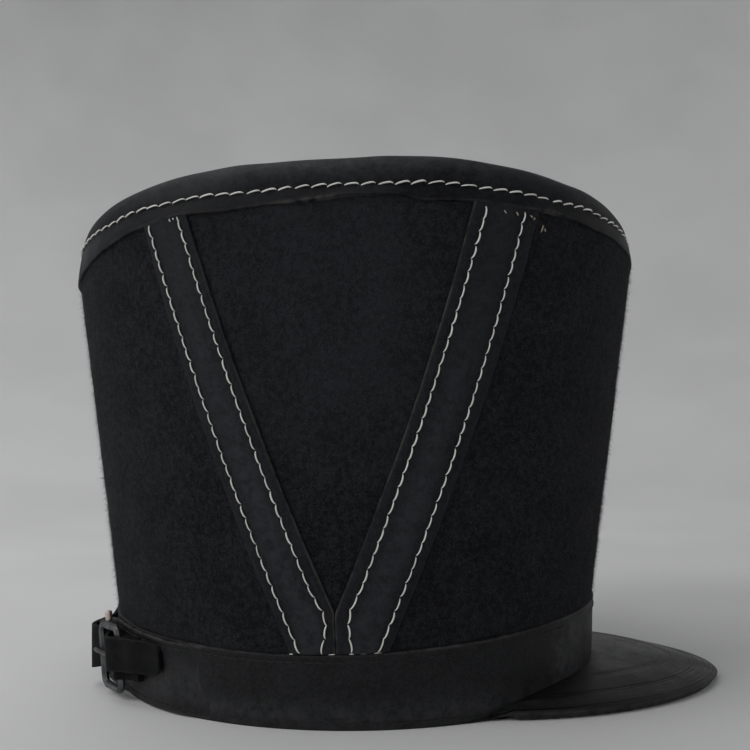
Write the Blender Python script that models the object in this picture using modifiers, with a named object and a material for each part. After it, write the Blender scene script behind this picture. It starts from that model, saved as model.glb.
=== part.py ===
"""Shako hat: felt body, leather crown, side chevrons, band, peak and back buckle.

Metres, +Z up. The peak points to -Y and the wearer's right side is -X. The hat rests on z = 0,
and x = y = 0 is the middle of its outline seen from above.

A place on the body is an angle round it (0 at the front, positive to the wearer's left) and a
height. Offsets are measured outwards from the felt's outer face.
"""
import math
from collections import namedtuple

import bmesh
import bpy
from mathutils import Matrix, Vector

# ---------------------------------------------------------------- driving dimensions
GAP = 0.0003                    # clearance between pieces that touch
EDGE = 0.0004                   # rounding of cut leather edges
AROUND = 80                     # faces round the body

Section = namedtuple("Section", "height half_length half_width squareness forward side_rise front_rise")
FOOT_HEIGHT, BAND_HEIGHT, SEAM_HEIGHT = 0.0, 0.0300, 0.1825
BODY = (                        # side_rise lifts the two sides, front_rise the front
    Section(FOOT_HEIGHT, 0.1000, 0.0883, 2.0, -0.0008, 0.0, 0.0),
    Section(BAND_HEIGHT, 0.1040, 0.0905, 2.0, -0.0021, -0.0036, 0.0010),
    Section(SEAM_HEIGHT, 0.1195, 0.1169, 2.475, 0.0025, 0.0046, 0.0010),
)

FELT_WALL = 0.0025
FELT_STEP = 0.0014              # height over which the felt steps in under leather
FELT_FOOT = 0.0008              # felt stops this far above the band's foot

CROWN_LEATHER = 0.0018
RIM_PROUD = 0.0010              # outer face of the turned-down rim, at its lower edge
CROWN_PROUD = -0.0019           # the same at the seam, where the crown turns in
RIM_DROP_SIDE = 0.0055          # rim below the seam at the two sides
RIM_DROP_END = 0.0065           # how much further it hangs at front and back
SHOULDER_INSET = 0.0139
SHOULDER_RISE = 0.0132
TOP_SAG = 0.0020                # dip in the middle of the top

BAND_LEATHER = 0.0018
BAND_PROUD = 0.0010

STRAP_LEATHER = 0.0015
CHEVRON_SEAM = 0.0030           # butt seam at the foot of the V, forward of the body's middle
Arm = namedtuple("Arm", "name side_of_seam foot_forward top_forward bow foot_width top_width")
ARMS = (
    Arm("front", 1, 0.0090, 0.0670, 0.0040, 0.0222, 0.0213),
    Arm("rear", -1, -0.0020, -0.0540, -0.0036, 0.0202, 0.0167),
)
SIDES = {"right": -1, "left": 1}

PEAK_LEATHER = 0.0026
PEAK_ROOT_ANGLE = math.radians(55)
PEAK_CENTRE = 0.0575            # centre of the outer edge's oval, forward of the body's middle
PEAK_LENGTH = 0.0962
PEAK_HALF_WIDTH = 0.0760
PEAK_SQUARENESS = 1.82
PEAK_HORN_TOP = 0.0030          # top face at the peak's two ends
PEAK_ROOT_TOP = 0.0112          # top face at the middle of the root
PEAK_ROOT_ARCH = 0.78           # power of the rise of the root from its ends
PEAK_TIP_TOP = 0.0034           # top face at the tip
PEAK_DOME = 1.8                 # power of the fall from root to edge
PEAK_EDGE = 0.0006              # rounding of the peak's cut edge

# The band's end laps over the band at the back and stands off the body where the buckle sits.
BAND_END_LEATHER = 0.0015
BAND_END_SKIVED = 0.0004        # thickness where the lap starts
BAND_END_START = math.radians(-116)
BAND_END_FULL = math.radians(-126)
BAND_END_LEAVE = math.radians(-149)
BAND_END_FOOT, BAND_END_TOP = 0.0006, 0.0294
BAND_END_RUN = 0.0200           # straight run past the place where it leaves the body
BAND_END_TIP_FOOT, BAND_END_TIP_TOP = 0.0085, 0.0262

# The buckle has its own frame of reference on the band's end: u runs backwards, n outwards.
BUCKLE_ANGLE = math.radians(-141)
BUCKLE_SEAT = 0.0250            # height at which it touches the leaning band
WIRE = 0.0015                   # radius of the frame's wire
CHAPE_LEATHER = 0.0012
EYE = WIRE + GAP                # radius of the eye in the chape
PRONG_RADIUS = 0.0009
PRONG_LOOP = EYE + PRONG_RADIUS
HINGE_U, HINGE_N = 0.0025, PRONG_LOOP + PRONG_RADIUS + GAP / 2
OUTER_U, OUTER_N = 0.0225, 0.0032
FRAME_FOOT, FRAME_TOP = 0.0045, 0.0288
FRAME_CORNER = 0.0035

CLOSING_LEATHER = 0.0018
CLOSING_ROOT_FOOT, CLOSING_ROOT_TOP = 0.0060, 0.0275
CLOSING_MIDDLE = 0.0185         # height about which the strap leans
CLOSING_ROOT_ANGLE = math.radians(150)
CLOSING_LIFT_ANGLE = math.radians(188)
RouteRow = namedtuple("RouteRow", "u n foot top upright")
CLOSING_TAIL = (                # from where the strap leaves the band to its tip
    RouteRow(0.0456, -0.0104, 0.0062, 0.0275, 0.3),     # upright is a share of the wall's lean
    RouteRow(0.0428, -0.0058, 0.0070, 0.0273, 0.6),
    RouteRow(0.0390, 0.0004, 0.0079, 0.0270, 1.0),
    RouteRow(0.0342, 0.0030, 0.0090, 0.0268, 1.0),
    RouteRow(0.0288, 0.0024, 0.0100, 0.0267, 0.6),
    RouteRow(0.0240, 0.0005, 0.0110, 0.0266, 0.0),
    RouteRow(0.0190, 0.0004, 0.0118, 0.0266, 0.0),
    RouteRow(0.0125, 0.0039, 0.0125, 0.0267, 0.0),
    RouteRow(0.0065, 0.0072, 0.0130, 0.0267, 0.0),
    RouteRow(0.0025, 0.0080, 0.0133, 0.0267, 0.0),
    RouteRow(-0.0040, 0.0052, 0.0135, 0.0266, 0.0),
    RouteRow(-0.0110, 0.0034, 0.0135, 0.0264, 0.0),
    RouteRow(-0.0165, 0.0004, 0.0133, 0.0260, 0.0),
    RouteRow(-0.0205, -0.0008, 0.0133, 0.0254, 0.0),
    RouteRow(-0.0230, -0.0014, 0.0144, 0.0242, 0.0),
    RouteRow(-0.0244, -0.0017, 0.0164, 0.0222, 0.0),
)

CHAPE_START_U = -0.0110
CHAPE_FOOT, CHAPE_TOP = 0.0098, 0.0262

PRONG_TIP = 0.0030              # reach of the prong past the outer bar
PRONG_HEIGHT = 0.0182
SLOT_HALF = PRONG_RADIUS + 0.0009
CUT_REACH = 0.0150              # how far cutters reach past what they cut
HOLE_START_U, HOLE_END_U = -0.0020, 0.0132

PIN_RADIUS = 0.0014
PIN_HEIGHT = 0.0042
PIN_EDGE = 0.0008
PIN_U, PIN_N = 0.0137, 0.0031

BAND_FACE = BAND_PROUD + GAP    # offset of what lies on the band

Finish = namedtuple("Finish", "color roughness metallic")
FELT = Finish((0.012, 0.013, 0.016), 0.95, 0.0)
SMOOTH_LEATHER = Finish((0.020, 0.021, 0.026), 0.42, 0.0)
GLOSSY_LEATHER = Finish((0.026, 0.028, 0.031), 0.25, 0.0)
DARK_STEEL = Finish((0.16, 0.17, 0.17), 0.35, 1.0)
COPPER = Finish((0.46, 0.30, 0.24), 0.45, 1.0)


# ---------------------------------------------------------------- places on the body
def body_section(height):
    """Section of the body at a height, in straight runs between the rows of BODY."""
    low, high = (BODY[0], BODY[1]) if height < BAND_HEIGHT else (BODY[1], BODY[2])
    share = (height - low.height) / (high.height - low.height)
    return Section(*(a + (b - a) * share for a, b in zip(low, high)))


def signed_power(value, power):
    return math.copysign(abs(value) ** power, value)


def body_point(angle, height, offset=0.0, spread=1.0):
    """Point at an angle and height; spread below 1 draws it in towards the body's axis."""
    row = body_section(height)
    power = 2.0 / row.squareness
    forward = signed_power(math.cos(angle), power) * (row.half_length + offset) * spread + row.forward
    side = signed_power(math.sin(angle), power) * (row.half_width + offset) * spread
    rise = row.front_rise * (forward - row.forward) / row.half_length
    rise -= row.side_rise * spread ** 2 * math.cos(2 * angle)
    return Vector((side, -forward, height + rise))


def rim_foot(angle):
    """Height of the rim's lower edge."""
    return SEAM_HEIGHT - RIM_DROP_SIDE - RIM_DROP_END * math.cos(angle) ** 2


def origin_shift():
    """Move along +Y that brings the outline's middle to the origin."""
    back = body_point(math.pi, rim_foot(math.pi), RIM_PROUD).y
    return (PEAK_CENTRE + PEAK_LENGTH - back) / 2


def angle_at(forward, height):
    """Angle from the front where the body is a distance forward of its middle."""
    row = body_section(height)
    share = (forward - row.forward) / row.half_length
    return math.acos(signed_power(share, row.squareness / 2.0))


def angle_for(length, angle, height):
    """Change of angle that moves a point a length along the body."""
    step = math.radians(0.5)
    run = (body_point(angle + step, height) - body_point(angle - step, height)).length
    return length * 2 * step / run


def buckle_matrix(z=0.0):
    """Buckle's frame of reference, raised by z; it leans half as much as the band's wall."""
    step = math.radians(0.5)
    wall = body_point(BUCKLE_ANGLE, BAND_HEIGHT) - body_point(BUCKLE_ANGLE, FOOT_HEIGHT)
    back = body_point(BUCKLE_ANGLE - step, BUCKLE_SEAT) - body_point(BUCKLE_ANGLE + step, BUCKLE_SEAT)
    up = (wall.normalized() + Vector((0.0, 0.0, 1.0))).normalized()
    n = up.cross(back).normalized()
    u = n.cross(up)
    seat = body_point(BUCKLE_ANGLE, BUCKLE_SEAT, BAND_FACE + BAND_END_LEATHER)
    origin = seat + up * (z - seat.z)
    return Matrix.Translation(origin) @ Matrix((u, n, up)).transposed().to_4x4()


def around(count):
    return [2 * math.pi * i / count for i in range(count)]


def spline_points(points, per_span):
    """Catmull-Rom curve through a list of vectors."""
    ends = [2 * points[0] - points[1]] + list(points) + [2 * points[-1] - points[-2]]
    curve = []
    for p0, p1, p2, p3 in zip(ends, ends[1:], ends[2:], ends[3:]):
        for i in range(per_span):
            t = i / per_span
            curve.append(0.5 * (2 * p1 + (p2 - p0) * t + (2 * p0 - 5 * p1 + 4 * p2 - p3) * t ** 2
                                + (3 * p1 - p0 - 3 * p2 + p3) * t ** 3))
    return curve + [Vector(points[-1])]


# ---------------------------------------------------------------- Blender helpers
def clear_scene():
    for item in list(bpy.data.objects):
        bpy.data.objects.remove(item, do_unlink=True)


def new_collection(name):
    made = bpy.data.collections.new(name)
    bpy.context.scene.collection.children.link(made)
    return made


def make_material(name, finish):
    material = bpy.data.materials.new(name)
    material.use_nodes = True
    shader = material.node_tree.nodes["Principled BSDF"]
    shader.inputs["Base Color"].default_value = (*finish.color, 1.0)
    shader.inputs["Roughness"].default_value = finish.roughness
    shader.inputs["Metallic"].default_value = finish.metallic
    return material


def finish_object(item, name, finish, collection, smooth_angle=math.radians(40)):
    """Name, material, shading and place of a finished piece."""
    item.name = name
    item.data.name = name
    item.data.materials.clear()
    item.data.materials.append(make_material(name, finish))
    item.data.shade_smooth()
    item.data.set_sharp_from_angle(angle=smooth_angle)
    for owner in list(item.users_collection):
        owner.objects.unlink(item)
    collection.objects.link(item)
    item.matrix_world = Matrix.Translation((0.0, origin_shift(), 0.0)) @ item.matrix_world
    return item


def mesh_object(mesh, name):
    bmesh.ops.recalc_face_normals(mesh, faces=mesh.faces)
    data = bpy.data.meshes.new(name)
    mesh.to_mesh(data)
    mesh.free()
    item = bpy.data.objects.new(name, data)
    bpy.context.scene.collection.objects.link(item)
    return item


def loft_mesh(loops, closed_around, closed_along=False):
    """Quads between equal loops of points; a closed loop joins its last point to its first."""
    mesh = bmesh.new()
    rows = [[mesh.verts.new(point) for point in loop] for loop in loops]
    row_pairs = list(zip(rows, rows[1:]))
    if closed_along:
        row_pairs.append((rows[-1], rows[0]))
    for low, high in row_pairs:
        count = len(low)
        for i in range(count if closed_around else count - 1):
            j = (i + 1) % count
            mesh.faces.new((low[i], low[j], high[j], high[i]))
    return mesh, rows


def add_solidify(item, thickness, offset):
    shell = item.modifiers.new("wall", "SOLIDIFY")
    shell.thickness = thickness
    shell.offset = offset
    shell.use_even_offset = True


def add_bevel(item, width, segments=1):
    edge = item.modifiers.new("edge", "BEVEL")
    edge.width = width
    edge.segments = segments
    edge.limit_method = "ANGLE"
    edge.angle_limit = math.radians(60)


def add_cut(item, cutter):
    cut = item.modifiers.new("cut", "BOOLEAN")
    cut.operation = "DIFFERENCE"
    cut.solver = "EXACT"
    cut.object = cutter


def curve_to_mesh(curve_item, name):
    """Mesh object of a curve, with its caps welded; the curve is removed."""
    graph = bpy.context.evaluated_depsgraph_get()
    data = bpy.data.meshes.new_from_object(curve_item.evaluated_get(graph))
    mesh = bmesh.new()
    mesh.from_mesh(data)
    bmesh.ops.remove_doubles(mesh, verts=mesh.verts, dist=1e-6)
    item = mesh_object(mesh, name)
    item.matrix_world = curve_item.matrix_world
    bpy.data.objects.remove(curve_item, do_unlink=True)
    bpy.data.meshes.remove(data)
    return item


def curve_object(splines, name, cyclic, matrix, wire=0.0, half_depth=0.0):
    """Curve of straight runs through points: a round wire, or a flat outline with a depth."""
    data = bpy.data.curves.new(name, "CURVE")
    data.dimensions = "2D" if half_depth else "3D"
    if half_depth:
        data.fill_mode = "BOTH"
        data.extrude = half_depth
    else:
        data.bevel_depth = wire
        data.bevel_resolution = 2
        data.use_fill_caps = True
    for points in splines:
        spline = data.splines.new("POLY")
        spline.points.add(len(points) - 1)
        spline.use_cyclic_u = cyclic
        for target, point in zip(spline.points, points):
            target.co = (point[0], point[1], point[2] if len(point) > 2 else 0.0, 1.0)
    item = bpy.data.objects.new(name, data)
    item.matrix_world = matrix
    bpy.context.scene.collection.objects.link(item)
    bpy.context.view_layer.update()
    return item


def arc(centre, radius, start_degrees, end_degrees, count):
    """Points of an arc, both ends included."""
    points = []
    for i in range(count + 1):
        angle = math.radians(start_degrees + (end_degrees - start_degrees) * i / count)
        points.append((centre[0] + radius * math.cos(angle), centre[1] + radius * math.sin(angle)))
    return points


# ---------------------------------------------------------------- sub-parts
def wall_round_body(profile_at, name):
    """Closed wall from the closed profile of (offset, height) points at each angle."""
    loops = [[body_point(angle, height, offset) for offset, height in profile_at(angle)]
             for angle in around(AROUND)]
    mesh, _ = loft_mesh(loops, closed_around=True, closed_along=True)
    return mesh_object(mesh, name)


def felt_profile(angle):
    """Felt tucked in behind the band at its foot and behind the rim at its top."""
    under_band = BAND_PROUD - BAND_LEATHER - GAP
    under_rim = RIM_PROUD - CROWN_LEATHER - GAP
    under_crown = CROWN_PROUD - CROWN_LEATHER - GAP
    top = rim_foot(angle)
    outer = (
        (under_band, FELT_FOOT),
        (under_band, BAND_HEIGHT + GAP),
        (0.0, BAND_HEIGHT + GAP + FELT_STEP),
        (0.0, BAND_HEIGHT + (top - BAND_HEIGHT) / 3),
        (0.0, BAND_HEIGHT + (top - BAND_HEIGHT) * 2 / 3),
        (0.0, top - FELT_STEP),
        (under_rim, top - GAP),
        (under_crown, SEAM_HEIGHT),
    )
    inner = tuple((offset - FELT_WALL, height) for offset, height in reversed(outer))
    return outer + inner


def build_felt_body(collection):
    return finish_object(wall_round_body(felt_profile, "felt_body"), "felt_body", FELT, collection)


def crown_loops():
    """Loops of the crown's outer face, from the rim's lower edge to near the middle of the top."""
    angles = around(AROUND)
    loops = []
    for share in (0.0, 0.5, 1.0):
        proud = RIM_PROUD + (CROWN_PROUD - RIM_PROUD) * share ** 1.3
        loops.append([body_point(angle, rim_foot(angle) + (SEAM_HEIGHT - rim_foot(angle)) * share, proud)
                      for angle in angles])
    steps = 5
    for i in range(1, steps + 1):
        turn = math.pi / 2 * i / steps
        inset = SHOULDER_INSET * (1 - math.cos(turn))
        lift = Vector((0.0, 0.0, SHOULDER_RISE * math.sin(turn)))
        loops.append([body_point(angle, SEAM_HEIGHT, CROWN_PROUD - inset) + lift for angle in angles])
    for spread in (0.72, 0.40, 0.10):
        dip = Vector((0.0, 0.0, SHOULDER_RISE - TOP_SAG * (1 - spread ** 2)))
        loops.append([body_point(angle, SEAM_HEIGHT, CROWN_PROUD - SHOULDER_INSET, spread) + dip
                      for angle in angles])
    return loops


def build_crown_top(collection):
    mesh, rows = loft_mesh(crown_loops(), closed_around=True)
    middle = mesh.faces.new(rows[-1])
    bmesh.ops.poke(mesh, faces=[middle])
    item = mesh_object(mesh, "crown_top")
    add_solidify(item, CROWN_LEATHER, -1.0)
    return finish_object(item, "crown_top", SMOOTH_LEATHER, collection)


def band_profile(angle):
    """Leather band with a flat foot and a rounded upper edge."""
    inner = BAND_PROUD - BAND_LEATHER
    return (
        (inner, FOOT_HEIGHT),
        (BAND_PROUD, FOOT_HEIGHT),
        (BAND_PROUD, BAND_HEIGHT / 2),
        (BAND_PROUD, BAND_HEIGHT - EDGE),
        (BAND_PROUD - EDGE, BAND_HEIGHT),
        (inner, BAND_HEIGHT),
        (inner, BAND_HEIGHT / 2),
    )


def build_lower_band(collection):
    return finish_object(wall_round_body(band_profile, "lower_band"), "lower_band", SMOOTH_LEATHER, collection)


def chevron_edges(arm, height):
    """Angles, from the front of the body, of an arm's outer and inner edges at a height."""
    share = (height - BAND_HEIGHT) / (SEAM_HEIGHT - BAND_HEIGHT)
    forward = arm.foot_forward + (arm.top_forward - arm.foot_forward) * share + arm.bow * 4 * share * (1 - share)
    centre = angle_at(forward, height)
    slope = (arm.top_forward - arm.foot_forward + arm.bow * 4 * (1 - 2 * share)) / (SEAM_HEIGHT - BAND_HEIGHT)
    width = arm.foot_width + (arm.top_width - arm.foot_width) * share
    half = arm.side_of_seam * angle_for(width / 2 * math.hypot(1.0, slope), centre, height)
    seam = angle_at(CHEVRON_SEAM + arm.side_of_seam * GAP / 2, height)
    nearest = min if arm.side_of_seam > 0 else max
    return centre - half, nearest(centre + half, seam)


def build_chevron(arm, side_name, collection):
    side = SIDES[side_name]
    foot, top = BAND_HEIGHT + GAP, SEAM_HEIGHT - RIM_DROP_SIDE - RIM_DROP_END / 3
    rows, across = 16, 4
    loops = []
    for i in range(rows + 1):
        share = i / rows
        outer, inner = chevron_edges(arm, foot + (top - foot) * share)
        angles = [side * (outer + (inner - outer) * j / across) for j in range(across + 1)]
        loops.append([body_point(angle, foot + (rim_foot(angle) - GAP - foot) * share, GAP)
                      for angle in angles])
    mesh, _ = loft_mesh(loops, closed_around=False)
    name = f"chevron_{side_name}_{arm.name}"
    item = mesh_object(mesh, name)
    outward = 1.0 if item.data.polygons[0].normal.x * side > 0 else -1.0
    add_solidify(item, STRAP_LEATHER, outward)
    return finish_object(item, name, SMOOTH_LEATHER, collection)


def peak_outline(turn):
    """Plan point of the peak's outer edge, for a turn from -90 to 90 degrees."""
    power = 2.0 / PEAK_SQUARENESS
    forward = PEAK_CENTRE + PEAK_LENGTH * abs(math.cos(turn)) ** power
    return Vector((PEAK_HALF_WIDTH * signed_power(math.sin(turn), power), -forward, 0.0))


def build_peak(collection):
    columns, rows = 32, 6
    loops = []
    for i in range(columns + 1):
        across = 2 * i / columns - 1
        arch = 1 - across ** 2
        root = body_point(across * PEAK_ROOT_ANGLE, BAND_HEIGHT / 3, BAND_FACE)
        edge = peak_outline(across * math.pi / 2)
        root_z = PEAK_HORN_TOP + (PEAK_ROOT_TOP - PEAK_HORN_TOP) * arch ** PEAK_ROOT_ARCH
        edge_z = PEAK_HORN_TOP + (PEAK_TIP_TOP - PEAK_HORN_TOP) * arch
        loop = []
        for j in range(rows + 1):
            out = j / rows
            plan = root.lerp(edge, out)
            loop.append(Vector((plan.x, plan.y, edge_z + (root_z - edge_z) * (1 - out ** PEAK_DOME))))
        loops.append(loop)
    mesh, _ = loft_mesh(loops, closed_around=False)
    under = bmesh.ops.extrude_face_region(mesh, geom=mesh.faces[:], use_keep_orig=True)["geom"]
    lowered = [part for part in under if isinstance(part, bmesh.types.BMVert)]
    bmesh.ops.translate(mesh, verts=lowered, vec=(0.0, 0.0, -PEAK_LEATHER))
    item = mesh_object(mesh, "peak")
    add_bevel(item, PEAK_EDGE, 2)
    return finish_object(item, "peak", GLOSSY_LEATHER, collection)


def band_end_sections():
    """Closed four-point sections of the lapped end, along the body and then straight on."""
    on_body, straight = 14, 6
    backwards = buckle_matrix().col[0].to_3d()
    sections = []
    for i in range(on_body + 1):
        angle = BAND_END_START + (BAND_END_LEAVE - BAND_END_START) * i / on_body
        full = min((angle - BAND_END_START) / (BAND_END_FULL - BAND_END_START), 1.0)
        outer = BAND_FACE + BAND_END_SKIVED + (BAND_END_LEATHER - BAND_END_SKIVED) * full
        corners = ((BAND_FACE, BAND_END_FOOT), (outer, BAND_END_FOOT), (outer, BAND_END_TOP),
                   (BAND_FACE, BAND_END_TOP))
        sections.append([body_point(angle, height, offset) for offset, height in corners])
    for i in range(1, straight + 1):
        share = i / straight
        foot = BAND_END_FOOT + (BAND_END_TIP_FOOT - BAND_END_FOOT) * share ** 2
        top = BAND_END_TOP + (BAND_END_TIP_TOP - BAND_END_TOP) * share ** 2
        outer = BAND_FACE + BAND_END_LEATHER
        corners = ((BAND_FACE, foot), (outer, foot), (outer, top), (BAND_FACE, top))
        run = backwards * BAND_END_RUN * share
        sections.append([body_point(BAND_END_LEAVE, height, offset) + run for offset, height in corners])
    return sections


def build_band_end(collection):
    mesh, rows = loft_mesh(band_end_sections(), closed_around=True)
    mesh.faces.new(rows[0])
    mesh.faces.new(rows[-1])
    return finish_object(mesh_object(mesh, "band_end"), "band_end", SMOOTH_LEATHER, collection)


def closing_edge(level):
    """Middle surface of the closing strap along one level, from -1 at its foot to 1 at its top."""
    share = (level + 1) / 2
    root = CLOSING_ROOT_FOOT + (CLOSING_ROOT_TOP - CLOSING_ROOT_FOOT) * share
    rest = BAND_FACE + CLOSING_LEATHER / 2
    on_band = 12
    turn = CLOSING_LIFT_ANGLE - CLOSING_ROOT_ANGLE
    points = [body_point(CLOSING_ROOT_ANGLE + turn * i / on_band, root, rest) for i in range(on_band + 1)]
    frame = buckle_matrix()
    lean = math.hypot(frame.col[2].x, frame.col[2].y)
    for row in CLOSING_TAIL:
        height = row.foot + (row.top - row.foot) * share
        inward = (height - CLOSING_MIDDLE) * row.upright * lean
        points.append(frame @ Vector((row.u, row.n - inward, height)))
    return spline_points(points, 2)


def build_closing_strap(collection, cutters):
    edges = [closing_edge(level) for level in (-1.0, -0.6, 0.6, 1.0)]
    mesh, _ = loft_mesh(edges, closed_around=False)
    item = mesh_object(mesh, "closing_strap")
    add_solidify(item, CLOSING_LEATHER, 0.0)
    hole = box_cutter("prong_hole", HOLE_START_U, HOLE_END_U, 0.0, CUT_REACH, SLOT_HALF, cutters)
    add_cut(item, hole)
    return finish_object(item, "closing_strap", SMOOTH_LEATHER, collection)


def box_cutter(name, start_u, end_u, start_n, end_n, half_height, cutters):
    """Box in the buckle's frame of reference, centred on the prong's height."""
    bpy.ops.mesh.primitive_cube_add(size=1.0)
    item = bpy.context.object
    item.name = name
    place = Matrix.Translation(((start_u + end_u) / 2, (start_n + end_n) / 2, PRONG_HEIGHT))
    size = Matrix.Diagonal((end_u - start_u, end_n - start_n, 2 * half_height, 1.0))
    shift = Matrix.Translation((0.0, origin_shift(), 0.0))
    item.data.transform(shift @ buckle_matrix() @ place @ size)
    for owner in list(item.users_collection):
        owner.objects.unlink(item)
    cutters.objects.link(item)
    item.hide_render = True
    item.display_type = "WIRE"
    return item


def build_buckle_frame(collection):
    tilt = Vector((OUTER_U - HINGE_U, OUTER_N - HINGE_N, 0.0))
    width = tilt.length
    along = tilt.normalized()
    corners = (
        ((width - FRAME_CORNER, FRAME_FOOT + FRAME_CORNER), -90),
        ((width - FRAME_CORNER, FRAME_TOP - FRAME_CORNER), 0),
        ((FRAME_CORNER, FRAME_TOP - FRAME_CORNER), 90),
        ((FRAME_CORNER, FRAME_FOOT + FRAME_CORNER), 180),
    )
    points = []
    for centre, start in corners:
        for reach, z in arc(centre, FRAME_CORNER, start, start + 90, 4):
            points.append((HINGE_U + along.x * reach, HINGE_N + along.y * reach, z))
    wire = curve_object([points], "buckle_frame", True, buckle_matrix(), wire=WIRE)
    return finish_object(curve_to_mesh(wire, "buckle_frame"), "buckle_frame", DARK_STEEL, collection)


def build_buckle_prong(collection):
    loop = arc((HINGE_U, HINGE_N), PRONG_LOOP, 30, -270, 14)
    rest = OUTER_N + WIRE + GAP + PRONG_RADIUS
    shank = [(OUTER_U, rest), (OUTER_U + PRONG_TIP, rest - 0.0005)]
    wire = curve_object([loop + shank], "buckle_prong", False, buckle_matrix(PRONG_HEIGHT), wire=PRONG_RADIUS)
    return finish_object(curve_to_mesh(wire, "buckle_prong"), "buckle_prong", DARK_STEEL, collection)


def build_buckle_chape(collection, cutters):
    bar = (HINGE_U, HINGE_N)
    outer = EYE + CHAPE_LEATHER
    thickness = 2 * CHAPE_LEATHER
    outline = [(CHAPE_START_U, -GAP), (CHAPE_START_U / 2, GAP / 2)]
    outline += arc(bar, outer, -90, 110, 12)
    outline += [(CHAPE_START_U * 0.2, GAP + thickness + CHAPE_LEATHER), (CHAPE_START_U / 2, GAP + thickness)]
    outline.append((CHAPE_START_U, GAP + thickness - CHAPE_LEATHER / 2))
    eye = arc(bar, EYE, 360, 30, 11)
    middle = (CHAPE_FOOT + CHAPE_TOP) / 2
    flat = curve_object([outline, eye], "buckle_chape", True, buckle_matrix(middle),
                        half_depth=(CHAPE_TOP - CHAPE_FOOT) / 2)
    item = curve_to_mesh(flat, "buckle_chape")
    slot_start = HINGE_U - PRONG_LOOP - PRONG_RADIUS - GAP
    slot = box_cutter("prong_slot", slot_start, CUT_REACH, -CUT_REACH, CUT_REACH, SLOT_HALF, cutters)
    finish_object(item, "buckle_chape", SMOOTH_LEATHER, collection)
    add_cut(item, slot)
    return item


def build_pin_head(collection):
    bpy.ops.mesh.primitive_cylinder_add(vertices=16, radius=PIN_RADIUS, depth=PIN_HEIGHT)
    item = bpy.context.object
    foot = FRAME_TOP + WIRE + GAP
    item.matrix_world = buckle_matrix(foot + PIN_HEIGHT / 2) @ Matrix.Translation((PIN_U, PIN_N, 0.0))
    add_bevel(item, PIN_EDGE, 3)
    return finish_object(item, "pin_head", COPPER, collection)


def main():
    clear_scene()
    hat = new_collection("shako_hat")
    cutters = new_collection("cutters")
    build_felt_body(hat)
    build_crown_top(hat)
    build_lower_band(hat)
    for side_name in SIDES:
        for arm in ARMS:
            build_chevron(arm, side_name, hat)
    build_peak(hat)
    build_band_end(hat)
    build_closing_strap(hat, cutters)
    build_buckle_frame(hat)
    build_buckle_prong(hat)
    build_buckle_chape(hat, cutters)
    build_pin_head(hat)


main()
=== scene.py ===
"""Looks of the shako hat: felt, leather, thread and buckle, with the floor, the lights and the camera.

Metres, +Z up. The peak points to -Y and the wearer's right side, which the camera sees, is -X.
A place on the hat is an angle round it (0 at the front, positive to the wearer's left) and a height.
Leather and felt pieces are cut as flat sheets, wrapped round the hat's form, and given thickness.
"""
from __future__ import annotations

import logging
import math
import sys
from dataclasses import dataclass, field, replace
from enum import Enum
from typing import Iterable, Sequence

import bpy
import numpy as np
from mathutils import Matrix, Vector


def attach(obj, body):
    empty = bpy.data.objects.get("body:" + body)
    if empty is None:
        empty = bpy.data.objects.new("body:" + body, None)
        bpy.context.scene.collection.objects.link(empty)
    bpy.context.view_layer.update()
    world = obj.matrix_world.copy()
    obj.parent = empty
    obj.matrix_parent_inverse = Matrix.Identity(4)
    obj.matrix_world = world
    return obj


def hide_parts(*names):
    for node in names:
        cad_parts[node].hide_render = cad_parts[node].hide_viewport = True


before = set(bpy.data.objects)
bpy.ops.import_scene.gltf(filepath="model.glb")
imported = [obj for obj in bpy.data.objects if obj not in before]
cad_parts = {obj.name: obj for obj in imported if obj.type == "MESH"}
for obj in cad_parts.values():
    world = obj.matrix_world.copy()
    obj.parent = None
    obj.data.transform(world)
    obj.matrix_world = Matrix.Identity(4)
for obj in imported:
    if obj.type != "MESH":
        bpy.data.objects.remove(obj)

LOG = logging.getLogger("shako")
Array = np.ndarray
Color = tuple[float, float, float]
Point = tuple[float, float, float]
MILLIMETRES = 1000.0
RIM_SMOOTHING = (-0.8, -0.4, 0.0, 0.4, 0.8)


# ---------------------------------------------------------------- the hat's form
def signed_power(value: Array, power: Array) -> Array:
    """Power of a number's size, with the number's sign kept."""
    return np.sign(value) * np.abs(value) ** power


@dataclass(frozen=True)
class Section:
    """One level of the hat's form: a rounded oval, and how it rises at the sides and the front."""

    height: float
    half_length: float
    half_width: float
    squareness: float
    forward: float
    side_rise: float
    front_rise: float


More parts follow.
